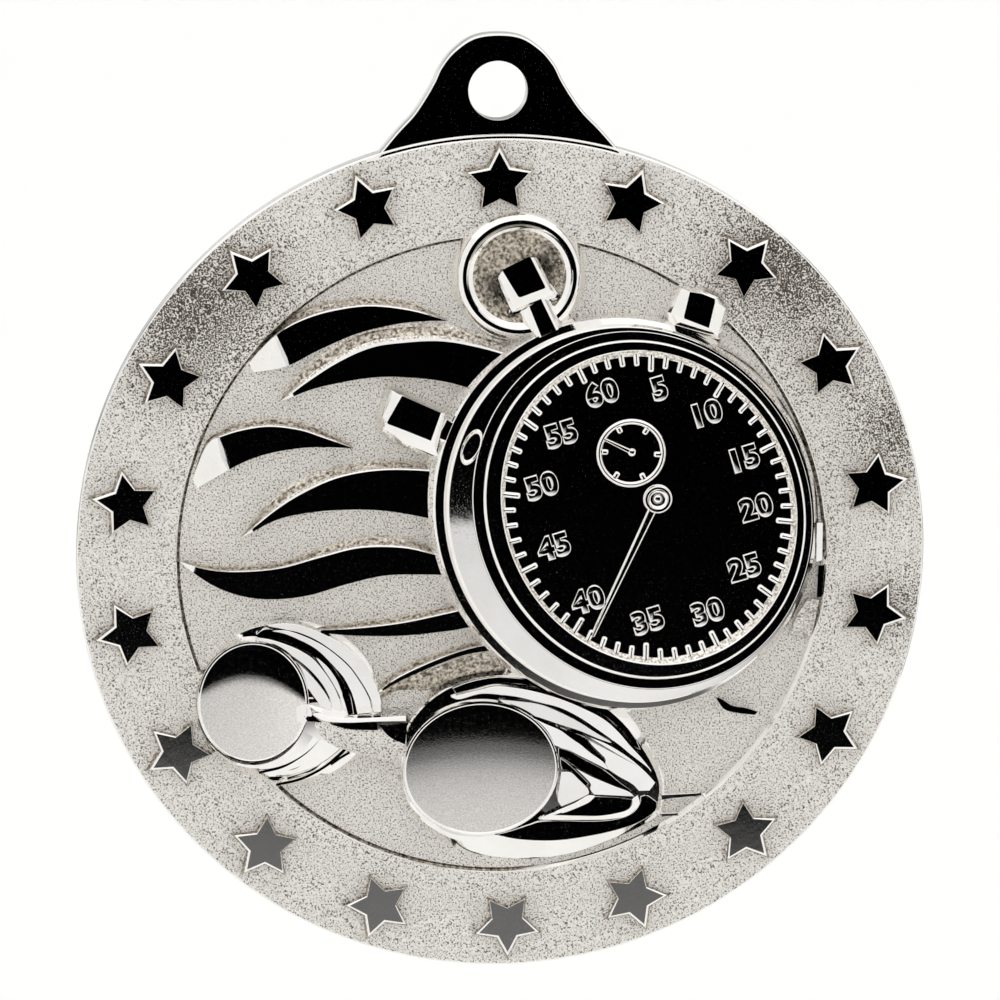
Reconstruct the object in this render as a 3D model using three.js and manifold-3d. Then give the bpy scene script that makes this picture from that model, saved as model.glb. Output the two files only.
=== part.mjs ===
// A silver-plated swimming medal, 50 mm across: a struck disc with a suspension loop, a convex grained
// band carrying eighteen stars, and in the sunken middle a stopwatch, goggles and waves in relief.
// Each relief element is a closed solid of its own, seated on the flat plate of the disc.
// The medal is built lying on its back, face towards +Z, and turned upright at the end of the file.
import * as THREE from 'three';
import { mergeVertices } from 'three/addons/utils/BufferGeometryUtils.js';
import Module from 'manifold-3d';

const wasm = await Module();
wasm.setup();

// ---- Driving dimensions, in millimetres; heights are measured from the back of the medal ----
const DISC_RADIUS = 25;
const PLATE_TOP = 1.5; // the sunken field, and the face of the loop
const EDGE_BREAK = 0.2; // how far the sharp edges are eased
const CLEARANCE = 0.3; // left free round a piece that passes through or beside its neighbour
const FACETS = 120; // straight sides on a full turn of the disc

const BACK_RIM_WIDTH = 1.7;
const BACK_FIELD_DEPTH = 0.25;
const LABEL_RADIUS = 12.5; // the smooth seat for an engraved or printed disc, on the back

const FIELD_RADIUS = 19.1; // inside of the star band
// The convex top of the band, from its outer to its inner edge: radius and height.
const BAND_CROWN = [
  [DISC_RADIUS - EDGE_BREAK / 2, 1.62], [24.2, 1.72], [22.8, 1.85], [21.4, 1.9], [19.9, 1.85],
  [FIELD_RADIUS, 1.76],
];

const STAR_COUNT = 18;
const STAR_CIRCLE = 22.25;
const STAR_TIP = 1.8;
const STAR_WAIST = 0.52; // notch radius over tip radius
const STAR_TOP = 2.2;
const STAR_DRAFT = 0.35; // how much wider the foot of a star is than its top, at the tips

const HOLE_Y = 27.5;
const HOLE_RADIUS = 1.7;
const LOOP_FOOT_HALF = 6.9; // half the width where the loop meets the disc
const LOOP_FOOT_Y = 23.3;
// The right side of the loop, from the edge of the disc up to the middle of its top.
const LOOP_SIDE = [
  [LOOP_FOOT_HALF, 24.03], [5.9, 25.2], [4.95, 26.2], [4.25, 27.2], [3.72, 28.1], [3.3, 28.95],
  [2.55, 29.85], [1.4, 30.6], [0, 30.8],
];
const LOOP_STEPS = 48;

const WAVE_TOP = 2.1;
const WAVE_END_TOP = 2.0;
const STRAP_TOP = 2.0;
const BOW_SHOULDER = 2.1;
const BOW_CREST = 2.4;
const CUP_LEFT_TOP = 2.4;
const CUP_RIGHT_TOP = 2.6;
const STEM_TOP = 2.6;
const BRIDGE_TOP = 2.7;
const PUSHER_RIGHT_TOP = 2.8;
const PUSHER_LEFT_TOP = 2.9;
const CROWN_TOP = 3.0;
const LENS_LEFT_TOP = 3.0;
const LENS_RIGHT_TOP = 3.2;

const DIAL_UP = THREE.MathUtils.degToRad(116); // the way twelve o'clock points
const DIAL_SQUASH = 0.88; // the dial is drawn at an angle: its width over its height
const DIAL_HEIGHT = 9.6; // from its middle to its rim, towards twelve o'clock
const DIAL_X = 8.4;
const DIAL_Y = 3.05;
const CASE_TOP = 3.0;
const DIAL_TOP = 3.1;
const MARK_TOP = 3.2;
const BEZEL_TOP = 3.35;
const BEZEL_WIDTH = 0.95;
const BEZEL_SHIFT = -0.2; // its outer edge stands this far to the left of the dial
const BEZEL_GAP = 0.15; // between the bezel and the dial
const TRACK_WIDTH = 0.3;
const TRACK_INSET = 0.1;
const TICK = 0.6;
const LONG_TICK = 0.9; // every fifth minute
const TICK_HALF_TURN = 0.008; // half the width of a tick, in radians
const MINUTES = 60;

const HUB_X = 9.0;
const HUB_Y = 3.6;
const HUB_RADIUS = 0.8;
const HUB_TOP = 3.4;
const HAND_DIRECTION = THREE.MathUtils.degToRad(244.5);
const HAND_LENGTH = 7.6;

const SUBDIAL_X = 7.45;
const SUBDIAL_Y = 6.35;
const SUBDIAL_OUTER = 2.1;
const SUBDIAL_INNER = 1.85;
const SUBDIAL_DIRECTION = THREE.MathUtils.degToRad(153);

// ---- Materials ----
const polished = new THREE.MeshStandardMaterial({ color: 0xd9d7d2, metalness: 1, roughness: 0.08 });
const grained = new THREE.MeshStandardMaterial({ color: 0xc9c1b8, metalness: 1, roughness: 0.5 });

// ---- Outlines ----
const at = (x, y) => new THREE.Vector2(x, y);
const polar = (x, y, radius, angle) => at(x + radius * Math.cos(angle), y + radius * Math.sin(angle));

function curveThrough(points, steps) {
  return new THREE.SplineCurve(points.map(([x, y]) => at(x, y))).getPoints(steps);
}

function crescent(upper, lower, steps = 14) {
  const lowerEdge = curveThrough(lower, steps).reverse();
  return [...curveThrough(upper, steps), ...lowerEdge];
}

function ellipse(x, y, along, across, direction = DIAL_UP, count = 64) {
  return Array.from({ length: count }, (_, i) => {
    const turn = (2 * Math.PI * i) / count;
    const up = along * Math.cos(turn);
    const side = across * Math.sin(turn);
    return at(
      x + up * Math.cos(direction) - side * Math.sin(direction),
      y + up * Math.sin(direction) + side * Math.cos(direction),
    );
  });
}

function circle(x, y, radius, count = 48) {
  return ellipse(x, y, radius, radius, 0, count);
}

// A rectangle of the given length along a direction, standing on the middle of its near side.
function bar(x, y, direction, length, nearWidth, farWidth = nearWidth) {
  const corner = (along, side) => at(
    x + along * Math.cos(direction) - side * Math.sin(direction),
    y + along * Math.sin(direction) + side * Math.cos(direction),
  );
  return [
    corner(0, -nearWidth / 2), corner(length, -farWidth / 2), corner(length, farWidth / 2),
    corner(0, nearWidth / 2),
  ];
}

function star(x, y, tip, direction) {
  return Array.from({ length: 10 }, (_, i) => (
    polar(x, y, i % 2 ? tip * STAR_WAIST : tip, direction + (i * Math.PI) / 5)
  ));
}

// ---- Solids ----
function prism(outline, bottom, top, holes = []) {
  const shape = new THREE.Shape(outline);
  shape.holes = holes.map((hole) => new THREE.Path(hole));
  const geometry = new THREE.ExtrudeGeometry(shape, { depth: top - bottom, bevelEnabled: false });
  return geometry.translate(0, 0, bottom);
}

// A closed skin through level outlines of equal point count, lowest first, counter-clockwise from above.
function loft(levels) {
  const count = levels[0].outline.length;
  const index = [];
  for (let level = 0; level + 1 < levels.length; level += 1) {
    for (let i = 0; i < count; i += 1) {
      const a = level * count + i;
      const b = level * count + ((i + 1) % count);
      index.push(a, b, b + count, a, b + count, a + count);
    }
  }
  const last = levels.length - 1;
  const bottomFaces = THREE.ShapeUtils.triangulateShape(levels[0].outline, []);
  bottomFaces.forEach(([a, b, c]) => index.push(c, b, a));
  const topFaces = THREE.ShapeUtils.triangulateShape(levels[last].outline, []);
  topFaces.forEach((face) => index.push(...face.map((i) => i + last * count)));
  const points = levels.flatMap(({ outline, z }) => outline.flatMap((p) => [p.x, p.y, z]));
  const geometry = new THREE.BufferGeometry();
  geometry.setAttribute('position', new THREE.Float32BufferAttribute(points, 3));
  geometry.setIndex(index);
  return geometry;
}

// A prism whose upper edge is eased towards the middle of its outline.
function easedPrism(bigger, smaller, bottom, top) {
  return loft([
    { outline: bigger, z: bottom },
    { outline: bigger, z: top - EDGE_BREAK },
    { outline: smaller, z: top },
  ]);
}

// A body of revolution about Z from [radius, height] pairs, listed counter-clockwise round the section.
function turned(section, facets = FACETS) {
  const profile = section.map(([radius, height]) => at(radius, height));
  return new THREE.LatheGeometry(profile, facets).rotateX(Math.PI / 2);
}

function solidOf(geometry) {
  const bare = new THREE.BufferGeometry();
  bare.setAttribute('position', geometry.getAttribute('position'));
  bare.setIndex(geometry.getIndex());
  const merged = mergeVertices(bare);
  const corners = merged.getIndex().array;
  const triangles = [];
  for (let i = 0; i < corners.length; i += 3) {
    const [a, b, c] = corners.slice(i, i + 3);
    if (a !== b && b !== c && c !== a) triangles.push(a, b, c);
  }
  return new wasm.Manifold(new wasm.Mesh({
    numProp: 3,
    vertProperties: new Float32Array(merged.getAttribute('position').array),
    triVerts: new Uint32Array(triangles),
  }));
}

// What is left of a body once the tools are taken away; only its largest lump is kept.
function cut(geometry, tools) {
  let solid = solidOf(geometry);
  tools.forEach((tool) => { solid = solid.subtract(solidOf(tool)); });
  const lumps = solid.decompose().sort((one, other) => other.volume() - one.volume());
  const { vertProperties, triVerts } = lumps[0].getMesh();
  const result = new THREE.BufferGeometry();
  result.setAttribute('position', new THREE.Float32BufferAttribute(vertProperties, 3));
  result.setIndex(new THREE.Uint32BufferAttribute(triVerts, 1));
  return result;
}

const CUT_BOTTOM = -1;
const CUT_TOP = 6;
const cutter = (outline) => prism(outline, CUT_BOTTOM, CUT_TOP);

// ---- Where the relief stands, used by the pieces themselves and by the room left round them ----
const CASE_X = 7.25;
const CASE_Y = 2.3;
const CASE_ALONG = 11.9;
const CASE_ACROSS = 11.3;
const caseFoot = (grow = 0) => ellipse(CASE_X, CASE_Y, CASE_ALONG + grow, CASE_ACROSS + grow);

const BOW_X = 1.1;
const BOW_Y = 16.8;
const BOW_OUTER = 3.8;
const BOW_INNER = 2.7;

const CROWN_DIRECTION = THREE.MathUtils.degToRad(118);
const STEM_X = 2.75;
const STEM_Y = 13.7;
const STEM_LENGTH = 1.4;
const CROWN_LENGTH = 2.7;
const CROWN_WIDTH = 2.4;
const stemFoot = (grow = 0) => bar(STEM_X, STEM_Y, CROWN_DIRECTION, STEM_LENGTH, 1.1 + grow);

const LEFT_PUSHER_DIRECTION = THREE.MathUtils.degToRad(153);
const RIGHT_PUSHER_DIRECTION = THREE.MathUtils.degToRad(74);
const PUSHER_LEFT = { x: -2.9, y: 7.9, length: 4.4, near: 1.6, far: 2.6 };
const PUSHER_RIGHT = { x: 10.75, y: 13.5, length: 2.7, near: 2.9, far: 3.3 };

function leftPusherFoot(grow = 0) {
  const { x, y, length, near, far } = PUSHER_LEFT;
  const longer = length + 2 * grow;
  return bar(x + grow, y - grow / 2, LEFT_PUSHER_DIRECTION, longer, near + 2 * grow, far + 2 * grow);
}

function rightPusherFoot(grow = 0) {
  const { x, y, length, near, far } = PUSHER_RIGHT;
  return bar(x, y, RIGHT_PUSHER_DIRECTION, length + grow, near + 2 * grow, far + 2 * grow);
}

const LEFT_LENS = { x: -14.85, y: -8.1, across: 3.3, along: 3.75 };
const RIGHT_LENS = { x: -1.55, y: -12.45, across: 4.6, along: 4.15 };
const LEFT_CUP = { x: -12.7, y: -8.3, along: 5.15, across: 4.75 };
const RIGHT_CUP = { x: 1.9, y: -12.85, along: 7.55, across: 5.45 };
const UPRIGHT = Math.PI / 2;
const CUP_DIRECTION = THREE.MathUtils.degToRad(-12);

function foot({ x, y, along, across }, direction, grow = 0) {
  return ellipse(x, y, along + grow, across + grow, direction);
}

const lensFoot = (lens, grow) => foot(lens, UPRIGHT, grow);
const cupFoot = (cup, grow) => foot(cup, CUP_DIRECTION, grow);

// ---- Disc, loop, band and stars ----
function discBlank() {
  const rim = DISC_RADIUS - BACK_RIM_WIDTH;
  const past = DISC_RADIUS + 1;
  const blank = turned([
    [0, 0], [LABEL_RADIUS, 0], [LABEL_RADIUS + EDGE_BREAK, BACK_FIELD_DEPTH],
    [rim - EDGE_BREAK, BACK_FIELD_DEPTH], [rim, 0], [DISC_RADIUS - EDGE_BREAK, 0],
    [DISC_RADIUS, EDGE_BREAK], [DISC_RADIUS, PLATE_TOP], [0, PLATE_TOP],
  ]);
  const notch = [
    at(-LOOP_FOOT_HALF, LOOP_FOOT_Y), at(LOOP_FOOT_HALF, LOOP_FOOT_Y),
    at(LOOP_FOOT_HALF, past), at(-LOOP_FOOT_HALF, past),
  ];
  return cut(blank, [cutter(notch)]);
}

function loopOutline() {
  const farSide = LOOP_SIDE.slice(0, -1).map(([x, y]) => [-x, y]).reverse();
  const base = [at(-LOOP_FOOT_HALF, LOOP_FOOT_Y), at(LOOP_FOOT_HALF, LOOP_FOOT_Y)];
  return [...base, ...curveThrough([...LOOP_SIDE, ...farSide], LOOP_STEPS)];
}

function suspensionLoop() {
  return prism(loopOutline(), 0, PLATE_TOP, [circle(0, HOLE_Y, HOLE_RADIUS, 32)]);
}

function starBand(pockets) {
  const feet = [[FIELD_RADIUS, PLATE_TOP], [DISC_RADIUS, PLATE_TOP]];
  return cut(turned([...feet, ...BAND_CROWN, feet[0]]), pockets);
}

function starAt(number) {
  const direction = Math.PI / 2 + (2 * Math.PI * number) / STAR_COUNT;
  const centre = polar(0, 0, STAR_CIRCLE, direction);
  const outline = (tip) => star(centre.x, centre.y, tip, direction);
  const foot = outline(STAR_TIP + STAR_DRAFT);
  return {
    body: loft([{ outline: foot, z: PLATE_TOP }, { outline: outline(STAR_TIP), z: STAR_TOP }]),
    pocket: cutter(outline(STAR_TIP + STAR_DRAFT + CLEARANCE)),
  };
}

// ---- Waves: upper edge, then lower edge, both from the left tip to the right end ----
const WAVES = [
  { upper: [[-14.5, 11.4], [-13.2, 13.0], [-10.5, 14.7], [-7.0, 15.3], [-3.4, 14.4]],
    lower: [[-14.3, 11.2], [-11.7, 12.2], [-8.2, 13.7], [-5.3, 14.2], [-3.4, 14.2]] },
  { upper: [[-12.7, 9.9], [-9.4, 12.2], [-5.9, 13.0], [-1.8, 12.9], [1.2, 12.0]],
    lower: [[-12.5, 9.8], [-9.4, 10.8], [-5.9, 11.0], [-2.4, 10.4], [1.2, 9.0]] },
  { upper: [[-18.0, 5.0], [-16.6, 7.5], [-13.5, 8.3], [-10.4, 7.6], [-8.8, 7.1]],
    lower: [[-17.9, 4.8], [-16.3, 5.7], [-13.5, 6.7], [-11.2, 7.1], [-8.9, 6.9]] },
  { upper: [[-15.1, 2.2], [-13.0, 3.5], [-9.5, 5.1], [-6.0, 5.5], [-3.0, 5.1]],
    lower: [[-15.0, 2.0], [-11.9, 3.1], [-8.4, 3.2], [-6.0, 3.0], [-3.0, 2.1]] },
  { upper: [[-18.6, 0.2], [-15.5, -0.4], [-11.9, 0.0], [-7.8, 0.9], [-3.0, 0.1]],
    lower: [[-18.5, -0.1], [-15.2, -1.9], [-11.7, -1.9], [-7.3, -0.8], [-3.0, -0.9]] },
  { upper: [[-11.1, -3.9], [-8.2, -3.9], [-5.5, -3.6], [-2.0, -2.9]],
    lower: [[-11.1, -4.1], [-8.2, -4.5], [-5.0, -4.5], [-2.0, -4.1]] },
  { upper: [[-7.5, -7.5], [-4.4, -5.9], [-1.7, -5.1], [0.5, -4.8]],
    lower: [[-7.4, -7.7], [-4.2, -6.5], [-1.5, -6.1], [0.5, -6.2]] },
];

// The wave ends that come out from under the stopwatch on its right.
const WAVE_ENDS = [
  [[18.5, -1.5], [18.75, -1.5], [18.6, -2.7], [18.1, -2.7]],
  [[17.7, -2.9], [18.5, -3.0], [18.1, -5.1], [17.0, -5.2], [17.1, -4.1]],
  [[12.6, -9.5], [12.95, -8.95], [14.3, -9.4], [15.05, -9.7], [14.9, -9.95], [13.9, -9.8]],
];

function waveBody({ upper, lower }, tools) {
  return cut(prism(crescent(lower, upper), PLATE_TOP, WAVE_TOP), tools);
}

function waveEnd(corners) {
  const outline = corners.map(([x, y]) => at(x, y));
  return cut(prism(outline, PLATE_TOP, WAVE_END_TOP), [cutter(caseFoot(CLEARANCE))]);
}

// ---- Stopwatch ----
function dialRing(radiusAlong, shiftX = 0, shiftY = 0, count = 96) {
  const across = radiusAlong * DIAL_SQUASH;
  return ellipse(DIAL_X + shiftX, DIAL_Y + shiftY, radiusAlong, across, DIAL_UP, count);
}

// The case wall: how far each level has gone from the foot to the face, and its height.
const CASE_LEVELS = [[0, PLATE_TOP], [0.12, 1.95], [0.45, 2.55], [1, CASE_TOP]];
const FACE_X = 8.2;
const FACE_Y = 3.0;
const FACE_ALONG = 10.8;
const FACE_ACROSS = 9.75;

function caseLevel(share) {
  const { lerp } = THREE.MathUtils;
  const x = lerp(CASE_X, FACE_X, share);
  const y = lerp(CASE_Y, FACE_Y, share);
  const along = lerp(CASE_ALONG, FACE_ALONG, share);
  return ellipse(x, y, along, lerp(CASE_ACROSS, FACE_ACROSS, share), DIAL_UP, 96);
}

function watchCase() {
  return loft(CASE_LEVELS.map(([share, z]) => ({ outline: caseLevel(share), z })));
}

function watchBezel() {
  const inside = DIAL_HEIGHT + BEZEL_GAP;
  const outline = dialRing(inside + BEZEL_WIDTH, BEZEL_SHIFT);
  return prism(outline, CASE_TOP, BEZEL_TOP, [dialRing(inside)]);
}

function watchDial() {
  return prism(dialRing(DIAL_HEIGHT), CASE_TOP, DIAL_TOP);
}

function onDial(radius, turn) {
  const up = radius * Math.cos(turn);
  const across = radius * DIAL_SQUASH * Math.sin(turn);
  return at(
    DIAL_X + up * Math.cos(DIAL_UP) - across * Math.sin(DIAL_UP),
    DIAL_Y + up * Math.sin(DIAL_UP) + across * Math.cos(DIAL_UP),
  );
}

// The ring round the dial with a tick for each minute, longer at every fifth.
function minuteTrack() {
  const outside = DIAL_HEIGHT - TRACK_INSET;
  const inside = outside - TRACK_WIDTH;
  const opening = [];
  for (let minute = 0; minute < MINUTES; minute += 1) {
    const angle = (2 * Math.PI * minute) / MINUTES;
    const tip = inside - (minute % 5 ? TICK : LONG_TICK);
    const before = angle - TICK_HALF_TURN;
    const after = angle + TICK_HALF_TURN;
    opening.push(onDial(inside, before), onDial(tip, before), onDial(tip, after), onDial(inside, after));
  }
  return prism(dialRing(outside), DIAL_TOP, MARK_TOP, [opening]);
}

function watchHand() {
  const root = polar(HUB_X, HUB_Y, HUB_RADIUS + 0.05, HAND_DIRECTION);
  return prism(bar(root.x, root.y, HAND_DIRECTION, HAND_LENGTH, 0.44, 0.2), DIAL_TOP, MARK_TOP);
}

function handHub() {
  const base = circle(HUB_X, HUB_Y, HUB_RADIUS);
  const top = circle(HUB_X, HUB_Y, HUB_RADIUS - EDGE_BREAK);
  return easedPrism(base, top, DIAL_TOP, HUB_TOP);
}

function subdialRing() {
  const opening = circle(SUBDIAL_X, SUBDIAL_Y, SUBDIAL_INNER);
  return prism(circle(SUBDIAL_X, SUBDIAL_Y, SUBDIAL_OUTER), DIAL_TOP, MARK_TOP, [opening]);
}

function subdialHand() {
  const root = SUBDIAL_X + 0.15;
  return prism(bar(root, SUBDIAL_Y, SUBDIAL_DIRECTION, 1.9, 0.24, 0.16), DIAL_TOP, MARK_TOP);
}

function bow() {
  const middle = (BOW_OUTER + BOW_INNER) / 2;
  const ring = turned([
    [BOW_INNER, PLATE_TOP], [BOW_OUTER, PLATE_TOP], [BOW_OUTER - EDGE_BREAK, BOW_SHOULDER],
    [middle, BOW_CREST], [BOW_INNER + EDGE_BREAK, BOW_SHOULDER], [BOW_INNER, PLATE_TOP],
  ], 56).translate(BOW_X, BOW_Y, 0);
  return cut(ring, [cutter(caseFoot(CLEARANCE)), cutter(stemFoot(2 * CLEARANCE))]);
}

function crownStem() {
  return cut(prism(stemFoot(), PLATE_TOP, STEM_TOP), [cutter(caseFoot(CLEARANCE / 2))]);
}

function crown() {
  const base = polar(STEM_X, STEM_Y, STEM_LENGTH + 0.05, CROWN_DIRECTION);
  const tip = polar(base.x, base.y, EDGE_BREAK, CROWN_DIRECTION);
  const bigger = bar(base.x, base.y, CROWN_DIRECTION, CROWN_LENGTH, CROWN_WIDTH);
  const smaller = bar(tip.x, tip.y, CROWN_DIRECTION, CROWN_LENGTH - 2 * EDGE_BREAK, CROWN_WIDTH - 1);
  return easedPrism(bigger, smaller, PLATE_TOP, CROWN_TOP);
}

function pusher(outline, height) {
  return cut(prism(outline, PLATE_TOP, height), [cutter(caseFoot(CLEARANCE))]);
}

// ---- Goggles ----
// The rounded edge of a lens: how far in from its foot, and how far below its top.
const LENS_EDGE = [[0, 0.55], [0.12, 0.3], [0.45, 0.1], [1.2, 0]];

function lensBody(lens, top) {
  const rounded = LENS_EDGE.map(([inset, below]) => ({ outline: lensFoot(lens, -inset), z: top - below }));
  return loft([{ outline: lensFoot(lens), z: PLATE_TOP }, ...rounded]);
}

function cupBody(cup, top, tools) {
  return cut(prism(cupFoot(cup), PLATE_TOP, top), tools);
}

const BRIDGE_LOWER = [[-12.2, -10.4], [-9.2, -11.2], [-5.2, -12.1]];
const BRIDGE_UPPER = [[-12.2, -8.9], [-9.0, -9.7], [-5.2, -9.6]];

function noseBridge(tools) {
  return cut(prism(crescent(BRIDGE_LOWER, BRIDGE_UPPER, 10), PLATE_TOP, BRIDGE_TOP), tools);
}

function strap({ x, y, turn, length, near, far }) {
  return prism(bar(x, y, turn, length, near, far), PLATE_TOP, STRAP_TOP);
}

const STRAP_UPPER = { x: 9.7, y: -14.9, turn: 0.08, length: 2.1, near: 0.5, far: 0.3 };
const STRAP_LOWER = { x: 9.6, y: -15.9, turn: -0.08, length: 0.8, near: 0.4, far: 0.3 };

// ---- Assembly ----
const medal = new THREE.Group();

function place(name, geometry, material) {
  const mesh = new THREE.Mesh(geometry, material);
  mesh.name = name;
  medal.add(mesh);
}

place('disc_blank', discBlank(), grained);
place('suspension_loop', suspensionLoop(), polished);

const stars = Array.from({ length: STAR_COUNT }, (_, number) => starAt(number));
const reliefOverBand = [
  circle(BOW_X, BOW_Y, BOW_OUTER + CLEARANCE), rightPusherFoot(CLEARANCE),
  lensFoot(LEFT_LENS, CLEARANCE), cupFoot(LEFT_CUP, CLEARANCE),
].map(cutter);
place('star_band', starBand([...stars.map((item) => item.pocket), ...reliefOverBand]), grained);
stars.forEach((item, number) => {
  place(`star_${String(number + 1).padStart(2, '0')}`, item.body, polished);
});

const watchRoom = [caseFoot(CLEARANCE), leftPusherFoot(CLEARANCE)].map(cutter);
const gogglesRoom = [cupFoot(LEFT_CUP, CLEARANCE), cupFoot(RIGHT_CUP, CLEARANCE)].map(cutter);
WAVES.forEach((wave, number) => {
  place(`wave_${number + 1}`, waveBody(wave, [...watchRoom, ...gogglesRoom]), polished);
});
WAVE_ENDS.forEach((corners, number) => {
  place(`wave_end_${number + 1}`, waveEnd(corners), polished);
});

place('watch_case', watchCase(), polished);
place('watch_bezel', watchBezel(), polished);
place('watch_dial', watchDial(), polished);
place('minute_track', minuteTrack(), polished);
place('watch_hand', watchHand(), polished);
place('hand_hub', handHub(), polished);
place('subdial_ring', subdialRing(), polished);
place('subdial_hand', subdialHand(), polished);
place('bow', bow(), polished);
place('crown', crown(), polished);
place('crown_stem', crownStem(), polished);
place('pusher_left', pusher(leftPusherFoot(), PUSHER_LEFT_TOP), polished);
place('pusher_right', pusher(rightPusherFoot(), PUSHER_RIGHT_TOP), polished);

const leftLensRoom = cutter(lensFoot(LEFT_LENS, CLEARANCE));
const rightLensRoom = cutter(lensFoot(RIGHT_LENS, CLEARANCE));
const caseRoom = cutter(caseFoot(CLEARANCE));
place('lens_left', lensBody(LEFT_LENS, LENS_LEFT_TOP), polished);
place('lens_right', lensBody(RIGHT_LENS, LENS_RIGHT_TOP), polished);
place('cup_left', cupBody(LEFT_CUP, CUP_LEFT_TOP, [leftLensRoom]), polished);
place('cup_right', cupBody(RIGHT_CUP, CUP_RIGHT_TOP, [rightLensRoom, caseRoom]), polished);
place('nose_bridge', noseBridge([...gogglesRoom, leftLensRoom, rightLensRoom]), polished);
place('strap_upper', strap(STRAP_UPPER), polished);
place('strap_lower', strap(STRAP_LOWER), polished);

// Upright: the face looks along -Y, the loop is at the top, the back lies in the plane Y = 0.
medal.rotation.x = Math.PI / 2;

export default medal;
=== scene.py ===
"""The finished look of the swimming medal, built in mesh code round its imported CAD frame.

Shapes are written in millimetres in the medal's own layout: x to the right, y up the face, and z for
the height above the back. place() turns them upright into the frame, in metres. Outlines are written
as one run of numbers, x, y, x, y and so on.
"""

import math

import bmesh
import bpy
import numpy as np
from mathutils import Matrix, Vector


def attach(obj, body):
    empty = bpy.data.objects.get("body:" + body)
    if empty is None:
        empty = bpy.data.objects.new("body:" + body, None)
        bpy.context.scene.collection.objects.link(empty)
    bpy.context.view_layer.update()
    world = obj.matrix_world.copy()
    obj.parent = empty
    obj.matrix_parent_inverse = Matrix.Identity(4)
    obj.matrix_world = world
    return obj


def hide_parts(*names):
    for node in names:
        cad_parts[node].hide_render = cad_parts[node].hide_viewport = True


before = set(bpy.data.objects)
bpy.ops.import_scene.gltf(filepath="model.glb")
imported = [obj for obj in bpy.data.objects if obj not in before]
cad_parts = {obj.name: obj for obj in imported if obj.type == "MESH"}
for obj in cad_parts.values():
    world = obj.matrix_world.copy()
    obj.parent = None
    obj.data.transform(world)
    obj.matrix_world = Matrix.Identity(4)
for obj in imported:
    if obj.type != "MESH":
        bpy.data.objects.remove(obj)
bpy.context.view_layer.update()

MM = 0.001
TURN = 2 * math.pi
WELD = 0.002 * MM  # corners nearer than this are one corner

# ---- Main dimensions, in millimetres ----
DISC_RADIUS = 25.0
DISC_STEPS = 360
FIELD_TOP = 1.5
UNDER = 1.42  # where relief ends, just under the field
FIELD_RADIUS = 19.1
GROOVE_BOTTOM = FIELD_TOP - 0.08
BACK_RIM_INSIDE = 23.3
BACK_FIELD = 0.25
LABEL_RADIUS = 12.5
STAR_COUNT = 18
STAR_CIRCLE = 22.25
STAR_TIP = 1.8
STAR_WAIST = 0.52
STAR_TOP = 2.2
HOLE_Y = 27.5
HOLE_RADIUS = 1.7
CASE_RIM_TOP = 3.225
DIAL_CENTRE = (8.46, 3.05)
DIAL_RADII = (9.3, 8.27)  # along and across the line from the middle to the 60
DIAL_TOP = 3.1
DIAL_FOOT = DIAL_TOP - 0.02  # where the dial's raised parts end, just under it
DIAL_UP = math.radians(116)
HAND_CENTRE = (9.0, 3.6)
HAND_DIRECTION = math.radians(244.5)
SMALL_DIAL_CENTRE = (7.45, 6.35)
SMALL_HAND_CENTRE = (7.5, 6.4)
SMALL_HAND_DIRECTION = math.radians(153)
BOW_CENTRE = (1.1, 16.75)
WAVE_TOP = 2.1
LENS_LEFT = (-14.89, -8.1, 3.28, 3.75)  # centre, half width and half height
LENS_RIGHT = (-1.54, -12.49, 4.62, 4.15)


# ---- Outlines ----
def pairs(numbers):
    return np.array(numbers, float).reshape(-1, 2)


def through(points, count, closed=False):
    """A smooth curve through the given points, resampled evenly along its length."""
    p = pairs(points)
    if closed:
        p = np.vstack([p[-1], p, p[0], p[1]])
    else:
        p = np.vstack([2 * p[0] - p[1], p, 2 * p[-1] - p[-2]])
    fine = []
    for a, b, c, d in zip(p[:-3], p[1:-2], p[2:-1], p[3:]):
        for t in np.linspace(0, 1, 16, endpoint=False):
            fine.append(0.5 * (2 * b + (c - a) * t + (2 * a - 5 * b + 4 * c - d) * t ** 2
                               + (3 * b - a - 3 * c + d) * t ** 3))
    fine.append(p[-2])
    fine = np.array(fine)
    run = np.r_[0, np.cumsum(np.linalg.norm(np.diff(fine, axis=0), axis=1))]
    where = np.linspace(0, run[-1], count, endpoint=not closed)
    return np.column_stack([np.interp(where, run, fine[:, k]) for k in range(2)])


def ellipse(x, y, along, across, direction=DIAL_UP, count=192):
    turn = np.linspace(0, TURN, count, endpoint=False)
    a, b = along * np.cos(turn), across * np.sin(turn)
    return np.column_stack([x + a * math.cos(direction) - b * math.sin(direction),
                            y + a * math.sin(direction) + b * math.cos(direction)])


def around(radius, turn):
    """Points at the given distances and directions from the origin."""
    return np.column_stack([radius * np.cos(turn), radius * np.sin(turn)])


def polar(x, y, radius, angle):
    return np.array([x + radius * math.cos(angle), y + radius * math.sin(angle)])


def rounded(corners, radius, steps=6):
    """A counter-clockwise polygon with its corners turned into arcs."""
    p = pairs(corners)
    out = []
    for before, here, after in zip(np.roll(p, 1, 0), p, np.roll(p, -1, 0)):
        into = (here - before) / np.linalg.norm(here - before)
        away = (after - here) / np.linalg.norm(after - here)
        start, end = here - into * radius, here + away * radius
        for t in np.linspace(0, 1, steps):
            out.append((1 - t) ** 2 * start + 2 * t * (1 - t) * here + t * t * end)
    return np.array(out)


def bar(foot, direction, length, near, far):
    """A straight bar from foot, with its widths at the near and the far end."""
    along = np.array([math.cos(direction), math.sin(direction)])
    side = np.array([-along[1], along[0]])
    tip = foot + along * length
    near_half, far_half = side * near / 2, side * far / 2
    return np.array([foot - near_half, tip - far_half, tip + far_half, foot + near_half])


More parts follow.
